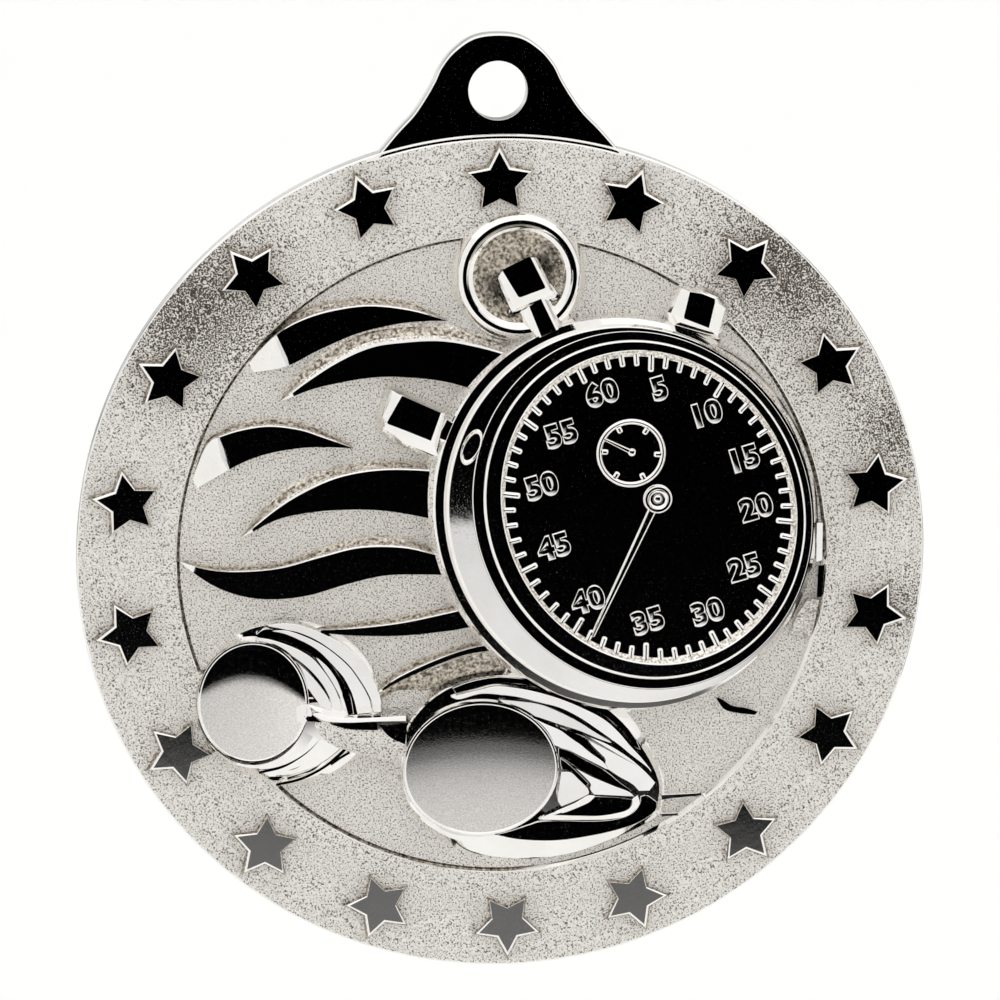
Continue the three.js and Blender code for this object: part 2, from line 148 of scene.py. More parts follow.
def inset(outline, distance):
    """The outline moved inwards along its mitres."""
    blunting = 0.35  # keeps the mitre of a sharp corner short
    before, after = np.roll(outline, 1, 0), np.roll(outline, -1, 0)
    u, v = outline - before, after - outline
    u /= np.linalg.norm(u, axis=1)[:, None]
    v /= np.linalg.norm(v, axis=1)[:, None]
    n1, n2 = np.column_stack([-u[:, 1], u[:, 0]]), np.column_stack([-v[:, 1], v[:, 0]])
    mitre = n1 + n2
    mitre /= np.maximum((mitre * n1).sum(1), blunting)[:, None]
    return outline + mitre * distance


def outward(line):
    """Unit vectors square to a line, on its right-hand side."""
    along = np.gradient(line, axis=0)
    along /= np.maximum(np.linalg.norm(along, axis=1), 1e-9)[:, None]
    return np.column_stack([along[:, 1], -along[:, 0]])


def level(outline, z):
    return np.column_stack([outline, np.broadcast_to(z, len(outline))])


def rings(section, count, x=0.0, y=0.0):
    """Level circles from (radius, height) pairs."""
    return [level(ellipse(x, y, radius, radius, 0, count), z) for radius, z in section]


# ---- Materials ----
def add(tree, kind, inputs=None, **settings):
    """A new shader node; each of its inputs gets a constant or another node's output."""
    node = tree.nodes.new("ShaderNode" + kind)
    for name, setting in settings.items():
        setattr(node, name, setting)
    for name, value in (inputs or {}).items():
        if isinstance(value, bpy.types.NodeSocket):
            tree.links.new(value, node.inputs[name])
        else:
            node.inputs[name].default_value = value
    return node


def own_position(tree):
    return add(tree, "TexCoord").outputs["Object"]


def noise(tree, feature, detail):
    """Noise whose grains are about the given number of millimetres across."""
    inputs = {"Vector": own_position(tree), "Scale": 1 / (feature * MM), "Detail": detail}
    return add(tree, "TexNoise", inputs).outputs["Fac"]


def ramp(tree, factor, stops):
    """Colours between stops; a stop's colour is three numbers, or one for a grey."""
    node = add(tree, "ValToRGB", {"Fac": factor})
    elements = node.color_ramp.elements
    while len(elements) < len(stops):
        elements.new(0.5)
    for element, (position, colour) in zip(elements, stops):
        element.position = position
        element.color = (*np.broadcast_to(colour, 3), 1)
    return node.outputs["Color"]


def principled(name, settings):
    material = bpy.data.materials.new(name)
    material.use_nodes = True
    shader = material.node_tree.nodes["Principled BSDF"]
    for setting, value in settings.items():
        shader.inputs[setting].default_value = value
    return material, material.node_tree, shader


def metal(name, colour, roughness):
    return principled(name, {"Metallic": 1.0, "Base Color": (*colour, 1), "Roughness": roughness})


def surface(tree, shader, tone, haze, height, depth, strength):
    """Links a metal's colour, its roughness and a bump of the given depth in millimetres."""
    relief = add(tree, "Bump", {"Distance": depth * MM, "Strength": strength, "Height": height})
    for name, output in (("Base Color", tone), ("Roughness", haze), ("Normal", relief.outputs["Normal"])):
        tree.links.new(output, shader.inputs[name])


def polished_silver():
    material, tree, shader = metal("polished silver", (0.86, 0.85, 0.83), 0.07)
    tone = ramp(tree, noise(tree, 2.6, 3), [(0.3, (0.84, 0.82, 0.795)), (0.7, (0.9, 0.89, 0.87))])
    haze = ramp(tree, noise(tree, 0.1, 2), [(0.35, 0.045), (0.6, 0.07), (0.85, 0.3)])
    surface(tree, shader, tone, haze, noise(tree, 0.5, 3), 0.004, 0.35)
    return material


def grained_silver(name="grained silver", shade_spots=()):
    """Fine blasted grain, a tenth of a millimetre across, with darker pits between bright grains.

    Given spots (x, y, radius) are soft round places where more of the dark pits show: painted shade."""
    # Deeper grain inside each spot darkens it: painted shade.
    painted_shade_pits = -0.235
    material, tree, shader = metal(name, (0.9, 0.87, 0.83), 0.4)
    grain = depth = noise(tree, 0.1, 2)
    for x, y, radius in shade_spots:
        mapping = add(tree, "Mapping", {"Vector": own_position(tree), "Location": (x * MM, 0, y * MM),
                                        "Scale": (radius * MM,) * 3}, vector_type="TEXTURE")
        where = {"Vector": mapping.outputs["Vector"]}
        spot = add(tree, "TexGradient", where, gradient_type="QUADRATIC_SPHERE")
        inputs = {0: spot.outputs["Fac"], 1: painted_shade_pits, 2: depth}
        depth = add(tree, "Math", inputs, operation="MULTIPLY_ADD").outputs["Value"]
    tone = ramp(tree, depth, [(0.345, (0.10, 0.085, 0.075)), (0.405, (0.66, 0.62, 0.58)),
                              (0.5, (0.97, 0.935, 0.89)), (0.62, (1.0, 0.985, 0.96))])
    haze = ramp(tree, noise(tree, 0.3, 2), [(0.3, 0.36), (0.7, 0.5)])
    surface(tree, shader, tone, haze, grain, 0.17, 1.0)
    return material


def tooled_silver(name, low, middle, high, feature=0.14):
    """Steep walls and hollows that keep the marks of the die-sinker's tools; the darkest version paints the
    shade in grooves and hollows.
    """
    material, tree, shader = metal(name, middle, 0.3)
    grain = noise(tree, feature, 2)
    tone = ramp(tree, grain, [(0.34, low), (0.5, middle), (0.66, high)])
    haze = ramp(tree, noise(tree, 0.4, 2), [(0.3, 0.2), (0.7, 0.36)])
    surface(tree, shader, tone, haze, grain, 0.04, 0.7)
    return material


def satin_silver():
    """The domed lenses: polished, with a faint fine frosting."""
    material, tree, shader = metal("satin silver", (0.86, 0.84, 0.81), 0.12)
    frost = noise(tree, 0.09, 1)
    tone = ramp(tree, frost, [(0.3, (0.74, 0.71, 0.67)), (0.7, (0.93, 0.91, 0.88))])
    haze = ramp(tree, noise(tree, 0.25, 2), [(0.3, 0.05), (0.7, 0.1)])
    surface(tree, shader, tone, haze, frost, 0.003, 0.5)
    return material


POLISHED = polished_silver()
GRAINED = grained_silver()
# Painted shade: soft spots at the band's upper left, upper right and right where its grain is darker.
BAND_SHADE_PATCHES = [(-17.8, 15.4, 10.5), (17.2, 17.0, 10.5), (23.4, 7.5, 7.0), (23.6, -3.5, 4.5)]
BAND_GRAIN_AND_SHADE = grained_silver("grained band silver", BAND_SHADE_PATCHES)
TOOLED = tooled_silver("tooled silver", (0.34, 0.31, 0.27), (0.72, 0.68, 0.62), (0.93, 0.90, 0.86))
# Painted shade: a dark brown metal for the groove, the feet of the stars, bands of the waves and the bowl of
# the bow.
HOLLOW_SHADE = tooled_silver("hollow shade silver", (0.10, 0.085, 0.065), (0.40, 0.355, 0.30), (0.72, 0.67, 0.58), 0.2)
SATIN = satin_silver()


# ---- Meshes ----
def place(points):
    p = np.array(points, float) * MM
    return np.column_stack([p[:, 0], -p[:, 2], p[:, 1]])


class Shape:
    """Points and faces gathered for one piece; every face carries a material number."""

    def __init__(self):
        self.points, self.faces, self.kinds = [], [], []

    def add(self, points):
        first = len(self.points)
        self.points.extend(np.asarray(points, float).tolist())
        return first

    def face(self, corners, kind=0):
        self.faces.append(tuple(corners))
        self.kinds.append(kind)

    def skin(self, rows, closed=True, first_cap=False, last_cap=True, kinds=None):
        """Quads between rows of equal length, lowest row first, each row counter-clockwise from above."""
        kinds = kinds or [0] * len(rows)
        starts = [self.add(row) for row in rows]
        count = len(rows[0])
        for a, b, kind in zip(starts, starts[1:], kinds):
            for i in range(count if closed else count - 1):
                j = (i + 1) % count
                self.face((a + i, a + j, b + j, b + i), kind)
        if first_cap:
            self.face([starts[0] + i for i in reversed(range(count))], kinds[0])
        if last_cap:
            self.face([starts[-1] + i for i in range(count)], kinds[-1])
        return self

    def lathe(self, section, centre, count=96, kinds=None):
        """A body of revolution from (radius, height) pairs, outer foot first, capped if it ends at 0."""
        rows = rings([(max(radius, 1e-4), z) for radius, z in section], count, *centre)
        return self.skin(rows, kinds=kinds, last_cap=section[-1][0] == 0)

    def ridge(self, outline, slope, bottom, top):
        """A raised bar or figure: sloping sides, eased top edge and a flat top."""
        return self.skin([level(outline, bottom), level(inset(outline, slope * 0.8), top - 0.02),
                          level(inset(outline, slope), top)])

    def block(self, base, top, height, radius, round_off):
        """A rounded boss: from the base outline up to a smaller flat top."""
        low, high = rounded(base, radius), rounded(top, radius * 0.4)
        end = math.radians(round_off)
        foot = UNDER + 0.12
        rows = [level(low, UNDER)]
        for step in np.linspace(0, end, 8):
            share = (1 - math.cos(step)) / (1 - math.cos(end))
            rise = foot + (height - foot) * math.sin(step) / math.sin(end)
            rows.append(level(low + (high - low) * share, rise))
        return self.skin(rows)


def new_object(name, data):
    obj = bpy.data.objects.new(name, data)
    bpy.context.scene.collection.objects.link(obj)
    return obj


def piece(name, shape, nodes, materials=(POLISHED,), sharp=30):
    """One visible piece. Edges that turn by more than sharp degrees stay crisp."""
    mesh = bpy.data.meshes.new(name)
    mesh.from_pydata(place(shape.points).tolist(), [], shape.faces)
    for material in materials:
        mesh.materials.append(material)
    mesh.polygons.foreach_set("material_index", shape.kinds)
    mesh.validate()
    obj = new_object(name, mesh)
    welded = bmesh.new()
    welded.from_mesh(mesh)
    bmesh.ops.remove_doubles(welded, verts=welded.verts, dist=WELD)
    welded.to_mesh(mesh)
    welded.free()
    for polygon in mesh.polygons:
        polygon.use_smooth = True
    mesh.set_sharp_from_angle(angle=math.radians(sharp))
    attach(obj, "root")
    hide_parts(*nodes)


# ---- Disc, band, stars and loop ----
def disc():
    """The plate: a rim and a label seat on its back, a fine groove round the field of its face."""
    axis, seat, rim = 0.001, LABEL_RADIUS, BACK_RIM_INSIDE
    back = [(axis, 0.0), (seat - 0.1, 0.0), (seat, 0.03), (seat + 0.15, BACK_FIELD - 0.04),
            (seat + 0.25, BACK_FIELD), (rim - 0.3, BACK_FIELD), (rim - 0.2, BACK_FIELD - 0.04),
            (rim - 0.05, 0.05), (rim + 0.1, 0.0), (24.7, 0.0), (24.88, 0.04), (24.97, 0.12),
            (DISC_RADIUS, 0.24), (DISC_RADIUS, FIELD_TOP)]
    kinds = [1] * 4 + [0] + [1] * 8
    shape = Shape().skin(rings(back, DISC_STEPS), first_cap=True, last_cap=False, kinds=kinds)
    face = [(DISC_RADIUS, FIELD_TOP), (19.14, FIELD_TOP), (FIELD_RADIUS, GROOVE_BOTTOM),
            (19.03, GROOVE_BOTTOM), (18.97, FIELD_TOP), (12.0, FIELD_TOP), (axis, FIELD_TOP)]
    # The groove's faces take the dark material for hollows: painted shade.
    shape.skin(rings(face, DISC_STEPS), kinds=[0, 2, 2, 2, 0, 0])
    piece("disc", shape, ["disc_blank"], [GRAINED, POLISHED, HOLLOW_SHADE], sharp=24)


def fade(angles, middle, half, soften):
    """1 within half of the middle angle, fading to 0 beyond it; all in degrees."""
    return np.clip((half - np.abs(angles - middle)) / soften, 0, 1)


def band():
    """The convex grained ring; below the loop its outer edge is a narrow polished ledge."""
    count = 480
    turn = np.linspace(0, TURN, count, endpoint=False)
    ledge = fade(np.degrees(turn), 90, 17.5, 1.5)
    edge = [(25, 1.45, 1.45), (25, 1.56, 1.54), (24.95, 1.62, 1.60), (24.88, 1.645, 1.64),
            (24.75, 1.645, 1.675)]
    crest = [(24.66, 1.69), (24.4, 1.715), (24, 1.75), (23.4, 1.8), (22.8, 1.845), (22.2, 1.875),
             (21.4, 1.9), (20.8, 1.895), (20.2, 1.875), (19.6, 1.84), (19.2, 1.805), (19.14, 1.74)]
    rows = rings([(r, low * ledge + high * (1 - ledge)) for r, low, high in edge] + crest, count)
    inner = FIELD_RADIUS - 0.2 * fade(np.degrees(turn), 318, 48, 8)  # the wall leans in at the lower right
    rows.append(level(around(inner, turn), 1.40))
    shape = Shape().skin(rows, last_cap=False, kinds=[1] * 5 + [0] * 10 + [1] * 2)
    for row in (3, 4):  # away from the loop the grain runs out over the edge
        for i in np.flatnonzero(ledge == 0):
            shape.kinds[row * count + i] = 0
    # The band's grain carries the spots of painted shade.
    piece("band", shape, ["star_band"], [BAND_GRAIN_AND_SHADE, POLISHED], sharp=20)


def star_outline(x, y, tip, direction):
    reach = (tip, tip * STAR_WAIST)
    return np.array([polar(x, y, reach[i % 2], direction + i * math.pi / 5) for i in range(10)])


def star(number):
    """A flat star whose walls spread down to the band; the edges that face outwards are eased most."""
    direction = math.pi / 2 + TURN * number / STAR_COUNT
    top = star_outline(*polar(0, 0, STAR_CIRCLE, direction), STAR_TIP, direction)
    foot = star_outline(*polar(0, 0, STAR_CIRCLE + 0.12, direction), STAR_TIP + 0.62, direction)
    outward_share = np.clip(0.55 + 0.6 * np.cos(np.arange(10) * math.pi / 5), 0.08, 1)[:, None]
    eased_edge = top + (inset(top, -0.12) - top) * outward_share
    rows = [level(foot, FIELD_TOP), level(eased_edge, STAR_TOP - 0.07), level(top, STAR_TOP - 0.005),
            level(inset(top, 0.01), STAR_TOP)]
    # The lowest wall, from the foot up to the eased edge, takes the dark material for hollows: painted shade.
    shape = Shape().skin(rows, kinds=[1, 0, 0])
    piece(f"star-{number + 1:02d}", shape, [f"star_{number + 1:02d}"], [POLISHED, HOLLOW_SHADE], sharp=12)


# The right side of the loop, from the edge of the disc up to the middle of its top.
LOOP_SIDE = pairs([6.9, 24.03, 5.9, 25.2, 4.95, 26.2, 4.25, 27.2, 3.72, 28.1, 3.3, 28.95, 2.55, 29.85,
                   1.4, 30.6, 0, 30.8])


def loop():
    top = through(np.vstack([LOOP_SIDE, LOOP_SIDE[-2::-1] * (-1, 1)]), 120)
    spread = math.atan2(top[0, 1], top[0, 0])
    base = [polar(0, 0, 24.3, a) for a in np.linspace(math.pi - spread, spread, 40)]
    outside = np.vstack([top, base])
    turn = np.arctan2(outside[:, 1] - HOLE_Y, outside[:, 0])

    def hole(wider):
        return around(HOLE_RADIUS + wider, turn) + (0, HOLE_Y)

    edge = 0.13
    inside, between = inset(outside, edge), inset(outside, edge * 0.3)
    rows = [level(hole(0.1), 0.03), level(inside, 0.03), level(between, 0.08), level(outside, 0.2),
            level(outside, 1.3), level(between, 1.44), level(inside, FIELD_TOP), level(hole(0.02), FIELD_TOP),
            level(hole(0.01), 1.48), level(hole(0), 1.38), level(hole(0), 0.15), level(hole(0.1), 0.03)]
    piece("loop", Shape().skin(rows, last_cap=False), ["suspension_loop"], sharp=24)


# ---- Waves: the foot of the upper wall, then the upper and the lower edge of the polished top ----
WAVES = [
    dict(foot=[-15.2, 11.3, -14.25, 12.65, -13.1, 13.85, -11.8, 14.9, -9.9, 15.55, -7.6, 15.75, -5.2, 15.4,
             -3.1, 14.25],
         upper=[-15.1, 11.3, -14.1, 12.6, -12.9, 13.75, -11.3, 14.55, -9.6, 15, -7.6, 15.2, -5.3, 14.9,
             -3.1, 14.25],
         lower=[-15.1, 11.25, -12.6, 11.75, -10.6, 12.7, -8.4, 13.6, -6.2, 14.1, -4.6, 14.25, -3.1, 14.25],
         lean=[-12.75, 12.9, 0.93, 0.36]),
    dict(foot=[-12.95, 9.65, -11.7, 11.6, -9.9, 12.9, -8.2, 13.85, -5.8, 14.2, -3.5, 14.1, -1, 13.4,
             1, 12.6],
         upper=[-12.95, 9.65, -11.2, 10.9, -9.4, 12, -7.6, 12.75, -5.9, 13, -3.5, 13.05, -1.2, 12.6,
             1, 11.9],
         lower=[-12.95, 9.65, -11.2, 10.35, -9.4, 10.75, -7.6, 11, -5.9, 11, -3.5, 10.7, -1.2, 10, 1, 9]),
    dict(foot=[-18.35, 4.35, -17.9, 5.9, -17.3, 7.35, -16.7, 7.9, -15.3, 8.5, -13.5, 8.75, -11.8, 8.45,
             -10, 7.75, -8.7, 6.85],
         upper=[-18.3, 4.35, -17.8, 5.9, -17.15, 7.3, -16.3, 7.75, -15, 8.1, -13.5, 8.25, -11.8, 8,
             -10.4, 7.5, -8.7, 6.85],
         lower=[-18.3, 4.3, -16.8, 5.25, -15.6, 5.95, -14.4, 6.45, -13.2, 6.75, -11.6, 6.95, -10.2, 6.95,
             -8.7, 6.85],
         lean=[-16.25, 6.9, 0.97, 0.24]),
    dict(foot=[-15.35, 1.65, -13.6, 3.85, -11.8, 5.1, -9.5, 5.75, -7.1, 6.05, -4.5, 5.85, -3, 5.6],
         upper=[-15.35, 1.65, -13.4, 3.2, -11.6, 4.3, -9.5, 5.15, -7.1, 5.5, -4.5, 5.4, -3, 5.1],
         lower=[-15.35, 1.65, -13.4, 2.65, -11.6, 3.05, -9.5, 3.2, -7.1, 3.1, -4.5, 2.6, -3, 2.1]),
    dict(foot=[-18.95, 0.3, -17.2, 0, -15.4, -0.05, -13.1, 0.1, -10.7, 0.9, -8.4, 1.5, -6, 1.45, -4.3, 0.8,
             -3, 0.3],
         upper=[-18.95, 0.3, -17.2, -0.2, -15.4, -0.35, -13.1, -0.2, -10.7, 0.4, -8.4, 0.9, -6, 0.85,
             -4.3, 0.45, -3, 0],
         lower=[-18.95, 0.25, -17, -1.15, -15.2, -1.85, -13.4, -2.05, -11.4, -1.85, -9.2, -1.25, -7, -0.8,
             -4.6, -0.8, -3, -0.9]),
    dict(foot=[-11.4, -3.95, -9, -3.65, -6.1, -3.3, -3.4, -2.8, -2, -2.5],
         upper=[-11.4, -3.98, -9, -3.95, -6.1, -3.7, -3.4, -3.2, -2, -2.9],
         lower=[-11.4, -4.05, -9, -4.35, -6.1, -4.45, -3.4, -4.25, -2, -4.05]),
    dict(foot=[-7.7, -7.85, -6.15, -6.5, -3.8, -5.6, -1.4, -4.95, 0.4, -4.6],
         upper=[-7.7, -7.95, -6.2, -6.95, -3.8, -5.9, -1.8, -5.3, 0.4, -5],
         lower=[-7.7, -8.05, -6.2, -7.2, -3.8, -6.2, -2, -5.65, 0.4, -5.4],
         skirt=[-7.6, -8.6, -6.2, -8, -4.4, -8.1, -2, -7.5, 0.4, -7]),
]

# Wave ends that show right of the stopwatch: a material, then facets as on the goggles.
WAVE_ENDS = [
    (POLISHED, {
        "lit": (2.1, "y", 1, 0.2, [18.55, 1.7, 18.85, 1.7, 18.9, -0.6, 18.6, -0.7]),
        "level": (1.95, "x", 18, 0, [18.7, -0.95, 19, -0.95, 18.85, -2.8, 18.6, -2.8]),
    }),
    (TOOLED, {
        "lit": (2.02, "y", -2.9, 0.17, [18.05, -2.95, 18.7, -3, 18.3, -5.3, 17.1, -5.15, 17.4, -4.1]),
    }),
    (POLISHED, {
        "level": (1.95, "x", 12, -0.02, [12.6, -8.8, 12.95, -8.95, 13.55, -9.35, 14.3, -9.5, 15.05, -9.75,
            14.9, -9.9, 13.9, -9.75, 13.1, -9.5]),
    }),
]


def wave(name, foot, upper, lower, lean=None, skirt=None):
    """Tooled upper wall in three bands, the middle one dark with painted shade, level polished top, and a
    short wall or a skirt below; the skirt is painted shade as well.
    """
    steps = 96
    f, u, d = (through(line, steps) for line in (foot, upper, lower))
    rounding = 0.55 + 0.45 * np.clip(np.linspace(0, 1, steps) / 0.06, 0, 1)
    tip = UNDER + (WAVE_TOP - UNDER) * rounding

    def height(points, share):
        z = UNDER + (tip - UNDER) * share
        if lean:  # the blunt left end leans down towards the star band, from a point on along a direction
            start, along = pairs(lean)
            z = z + 0.27 * np.minimum((points - start) @ along, 0) * share
        return np.maximum(z, UNDER)

    # Kind 2 is the dark material for hollows: painted shade in the middle band of the wall and down the
    # skirt.
    wall = [(0.3, 0.4, 1), (0.38, 0.46, 2), (0.62, 0.66, 2), (0.72, 0.74, 2), (0.86, 0.93, 1), (1, 1, 0)]
    parts = [(f, u, wall), (u, d, [(share, 1, 0) for share in (0.06, 0.3, 0.6, 0.94, 1)])]
    if skirt:
        fall = [(0.1, 0.72, 0), (0.35, 0.6, 2), (0.5, 0.5, 2), (0.8, 0.2, 2), (1, 0, 2)]
        parts.append((d, through(skirt, steps), fall))
    rows, kinds = [level(f, UNDER)], []
    for near, far, profile in parts:
        for share, rise, kind in profile:
            line = near + (far - near) * share
            rows.append(level(line, height(line, rise)))
            kinds.append(kind)
    if not skirt:
        below = outward(d)
        rows += [level(d + below * 0.05, height(d, 0.55)), level(d + below * 0.11, UNDER)]
        kinds += [0, 0]
    shape = Shape().skin(rows[::-1], closed=False, last_cap=False, kinds=kinds[::-1])
    piece(name, shape, [name.replace("-", "_")], [POLISHED, TOOLED, HOLLOW_SHADE], sharp=9)


def wave_end(name, material, table):
    piece(name, facets(Shape(), table), [name.replace("-", "_")], [material], sharp=9)


# ---- Stopwatch ----
def watch_case():
    """Rings from the field up to the bezel: side wall, lower ring, step and the leaning case face."""
    foot = ellipse(7.12, 2.42, 12.22, 11.47)
    around = np.linspace(0, 360, len(foot), endpoint=False)  # degrees on from twelve o'clock
    bulge = 0.03 * np.exp(-((around - 45) / 25) ** 2)
    foot = foot + (foot - foot.mean(0)) * bulge[:, None]
    lower_out, lower_in = ellipse(7.17, 2.57, 11.85, 11.0), ellipse(7.36, 2.58, 11.5, 10.72)
    face_out, face_in = ellipse(7.5, 2.60, 11.34, 10.56), ellipse(8.12, 2.87, 10.96, 9.77)
    width = (outward(np.vstack([face_in[-1:], face_in, face_in[:1]]))[1:-1] * (face_out - face_in)).sum(1)
    face_z = CASE_RIM_TOP - width * math.tan(math.radians(9.5))
    lower_z = np.minimum(2.62, face_z - 0.16)
    fall = 0.35 * np.clip((0.45 - width) / 0.4, 0, 1) ** 2  # the ring drops where the face is narrow
    wall = lower_out - foot
    rows = [level(foot, UNDER), level(foot + wall * 0.25, 1.9),
            level(foot + wall * 0.8, lower_z - fall - 0.12), level(lower_out, lower_z - fall),
            level(lower_in, lower_z + 0.01), level(lower_in + (face_out - lower_in) * 0.5, face_z - 0.06),
            level(face_out, face_z)]
    for share in (0.25, 0.5, 0.75, 1.0):
        edge = face_out + (face_in - face_out) * share
        rows.append(level(edge, face_z + (CASE_RIM_TOP - face_z) * share))
    rows.append(level(ellipse(8.2, 2.9, 10.2, 9.1), 3.2))
    shape = Shape().skin(rows, last_cap=False)
    for number in np.flatnonzero(around < 110):  # the wall is grained on its upper left side
        shape.kinds[number] = shape.kinds[number + len(foot)] = 1
    piece("watch-case", shape, ["watch_case"], [POLISHED, GRAINED], sharp=6)


def stem_lug():
    """The small oval eye that stands on the case beside the left pusher."""
    hole, inside, outside = (ellipse(x, 6.95, along, across, math.radians(66), 48) for x, along, across in
                             ((-1.95, 0.72, 0.26), (-1.88, 0.98, 0.42), (-1.82, 1.2, 0.62)))
    slope = inside - outside
    rows = [level(outside, 2.6), level(outside + slope * 0.3, 3.14), level(outside + slope * 0.75, 3.26),
            level(inside, 3.24), level(hole, 3.06)]
    piece("stem-lug", Shape().skin(rows), ["watch_case"], sharp=14)


def watch_bezel():
    """Each ring has a centre, a half length along the line to the 60, a half width and a height."""
    table = [(8.12, 2.87, 10.96, 9.77, 3.2), (8.12, 2.87, 10.93, 9.75, 3.23),
             (8.13, 2.88, 10.89, 9.71, 3.252), (8.25, 2.91, 10.36, 9.25, 3.235),
             (8.265, 2.92, 10.32, 9.2, 3.3), (8.26, 2.95, 10.22, 9.1, 3.38),
             (8.49, 3.07, 9.64, 8.48, 3.385), (8.5, 3.08, 9.56, 8.43, 3.33),
             (8.48, 3.06, 9.38, 8.33, 3.2), (8.46, 3.05, 9.26, 8.25, 3.13), (8.46, 3.05, 9.18, 8.19, 3.09)]
    rows = [level(ellipse(*ring, count=240), z) for *ring, z in table]
    shape = Shape().skin(rows, last_cap=False, kinds=[0] * 7 + [1] * 3)
    piece("watch-bezel", shape, ["watch_bezel"], [POLISHED, TOOLED], sharp=6)


def watch_dial():
    rows = [level(ellipse(*DIAL_CENTRE, r, r * 0.893), DIAL_TOP) for r in (9.5, 4.0, 0.02)]
    piece("watch-dial", Shape().skin(rows), ["watch_dial"], sharp=24)


def dial_point(turn, reach):
    """A point of the dial: turn runs clockwise from the 60, reach is 1 at the rim."""
    along, across = DIAL_RADII[0] * reach * math.cos(turn), DIAL_RADII[1] * reach * math.sin(turn)
    return polar(*polar(*DIAL_CENTRE, along, DIAL_UP), across, DIAL_UP - math.pi / 2)


def minute_marks():
    """Sixty marks that start under the bezel; every fifth is longer and a little wider."""
    shape = Shape()
    hidden = 0.2
    for minute in range(60):
        turn = TURN * minute / 60
        outer = dial_point(turn, 1.0)
        inwards = dial_point(turn, 0.93) - outer
        inwards /= np.linalg.norm(inwards)
        direction = math.atan2(inwards[1], inwards[0])
        length, width = (0.68, 0.34) if minute % 5 else (0.98, 0.36)
        mark = bar(outer - inwards * hidden, direction, length + hidden, width, width)
        shape.ridge(rounded(mark, width * 0.42, 5), 0.15, DIAL_TOP - 0.01, DIAL_TOP + 0.1)
    piece("minute-marks", shape, ["minute_track"])


# Centres of the dial's numbers, from the 60 clockwise.
NUMBER_PLACES = [5.75, 10, 9.1, 10.15, 11.95, 8.65, 14.15, 5.9, 14.8, 2.95, 14.1, -0.65, 11.95, -3.25,
    8.4, -3.7, 4.85, -2.35, 2.85, 0.9, 2.2, 4.55, 3.35, 7.6]


def numeral(number, x, y):
    """A mesh of the number with sloping sides, turned with the dial and centred on x and y."""
    text = bpy.data.curves.new("numeral", "FONT")
    text.body = str(number)
    text.size = 1.8
    text.align_x, text.align_y = "CENTER", "CENTER"
    text.space_character = 1.08
    text.offset = 0.045
    text.extrude = 0.04
    text.bevel_depth = 0.085
    text.bevel_resolution = 1
    holder = new_object("numeral", text)
    bpy.context.view_layer.update()
    mesh = bpy.data.meshes.new_from_object(holder.evaluated_get(bpy.context.evaluated_depsgraph_get()))
    bpy.data.objects.remove(holder)
    corners = np.array([vertex.co[:2] for vertex in mesh.vertices])
    middle = (corners.min(0) + corners.max(0)) / 2
    mesh.transform(Matrix.Translation((x, y, DIAL_TOP)) @ Matrix.Rotation(math.radians(16), 4, "Z")
                   @ Matrix.Translation((-middle[0], -middle[1], 0)))
    return mesh


def numerals():
    shape = Shape()
    for number, place_on_dial in enumerate(pairs(NUMBER_PLACES)):
        mesh = numeral(number * 5 or 60, *place_on_dial)
        first = shape.add([tuple(v.co) for v in mesh.vertices])
        for polygon in mesh.polygons:
            shape.face([first + i for i in polygon.vertices])
    piece("numerals", shape, ["minute_track"])


def watch_hand():
    root = polar(*HAND_CENTRE, 0.7, HAND_DIRECTION)
    outline = rounded(bar(root, HAND_DIRECTION, 8.35, 0.5, 0.26), 0.08, 4)
    piece("watch-hand", Shape().ridge(outline, 0.1, DIAL_TOP, 3.26), ["watch_hand"])


def hand_hub():
    section = [(0.86, DIAL_FOOT), (0.84, 3.26), (0.74, 3.36), (0.62, 3.36), (0.5, 3.2), (0.42, 3.17),
               (0.3, 3.17), (0.26, 3.24), (0.16, 3.3), (0.0, 3.31)]
    piece("hand-hub", Shape().lathe(section, HAND_CENTRE, 64), ["hand_hub"], sharp=40)


def subdial():
    """A thin ring with six marks that reach in from it."""
    section = [(2.05, DIAL_FOOT), (1.95, 3.19), (1.91, 3.21), (1.84, 3.21), (1.8, 3.19), (1.7, DIAL_FOOT)]
    shape = Shape().lathe(section, SMALL_DIAL_CENTRE)
    for number in range(6):
        direction = DIAL_UP + number * TURN / 6
        mark = bar(polar(*SMALL_DIAL_CENTRE, 1.33, direction), direction, 0.45, 0.34, 0.34)
        shape.ridge(rounded(mark, 0.13, 4), 0.12, DIAL_TOP - 0.01, 3.19)
    piece("small-dial", shape, ["subdial_ring"])


def subdial_hand():
    shape = Shape().lathe([(0.24, DIAL_FOOT), (0.2, 3.2), (0.1, 3.24), (0.0, 3.25)], SMALL_HAND_CENTRE, 32)
    outline = bar(SMALL_HAND_CENTRE, SMALL_HAND_DIRECTION, 2.0, 0.26, 0.16)
    shape.ridge(rounded(outline, 0.06, 4), 0.06, DIAL_TOP, 3.2)
    piece("small-hand", shape, ["subdial_hand"])


# ---- Bow, crown and pushers ----
def bow():
    """The ring at the top of the watch, with a hollow, tooled bowl inside it, darkened with painted shade."""
    section = [(4.0, UNDER), (3.9, 1.62), (3.72, 1.95), (3.5, 2.2), (3.36, 2.3), (3.32, 2.33), (3.1, 2.33),
               (3.02, 2.26), (2.88, 2.16), (2.72, 2.1), (2.4, 1.9), (2.1, 1.74), (1.7, 1.62), (1.2, 1.54),
               (0.6, 1.5), (0.0, 1.5)]
    # The bowl's faces take the dark material for hollows: painted shade.
    shape = Shape().lathe(section, BOW_CENTRE, 128, kinds=[0] * 9 + [1] * 6)
    piece("bow-ring", shape, ["bow"], [POLISHED, HOLLOW_SHADE], sharp=22)


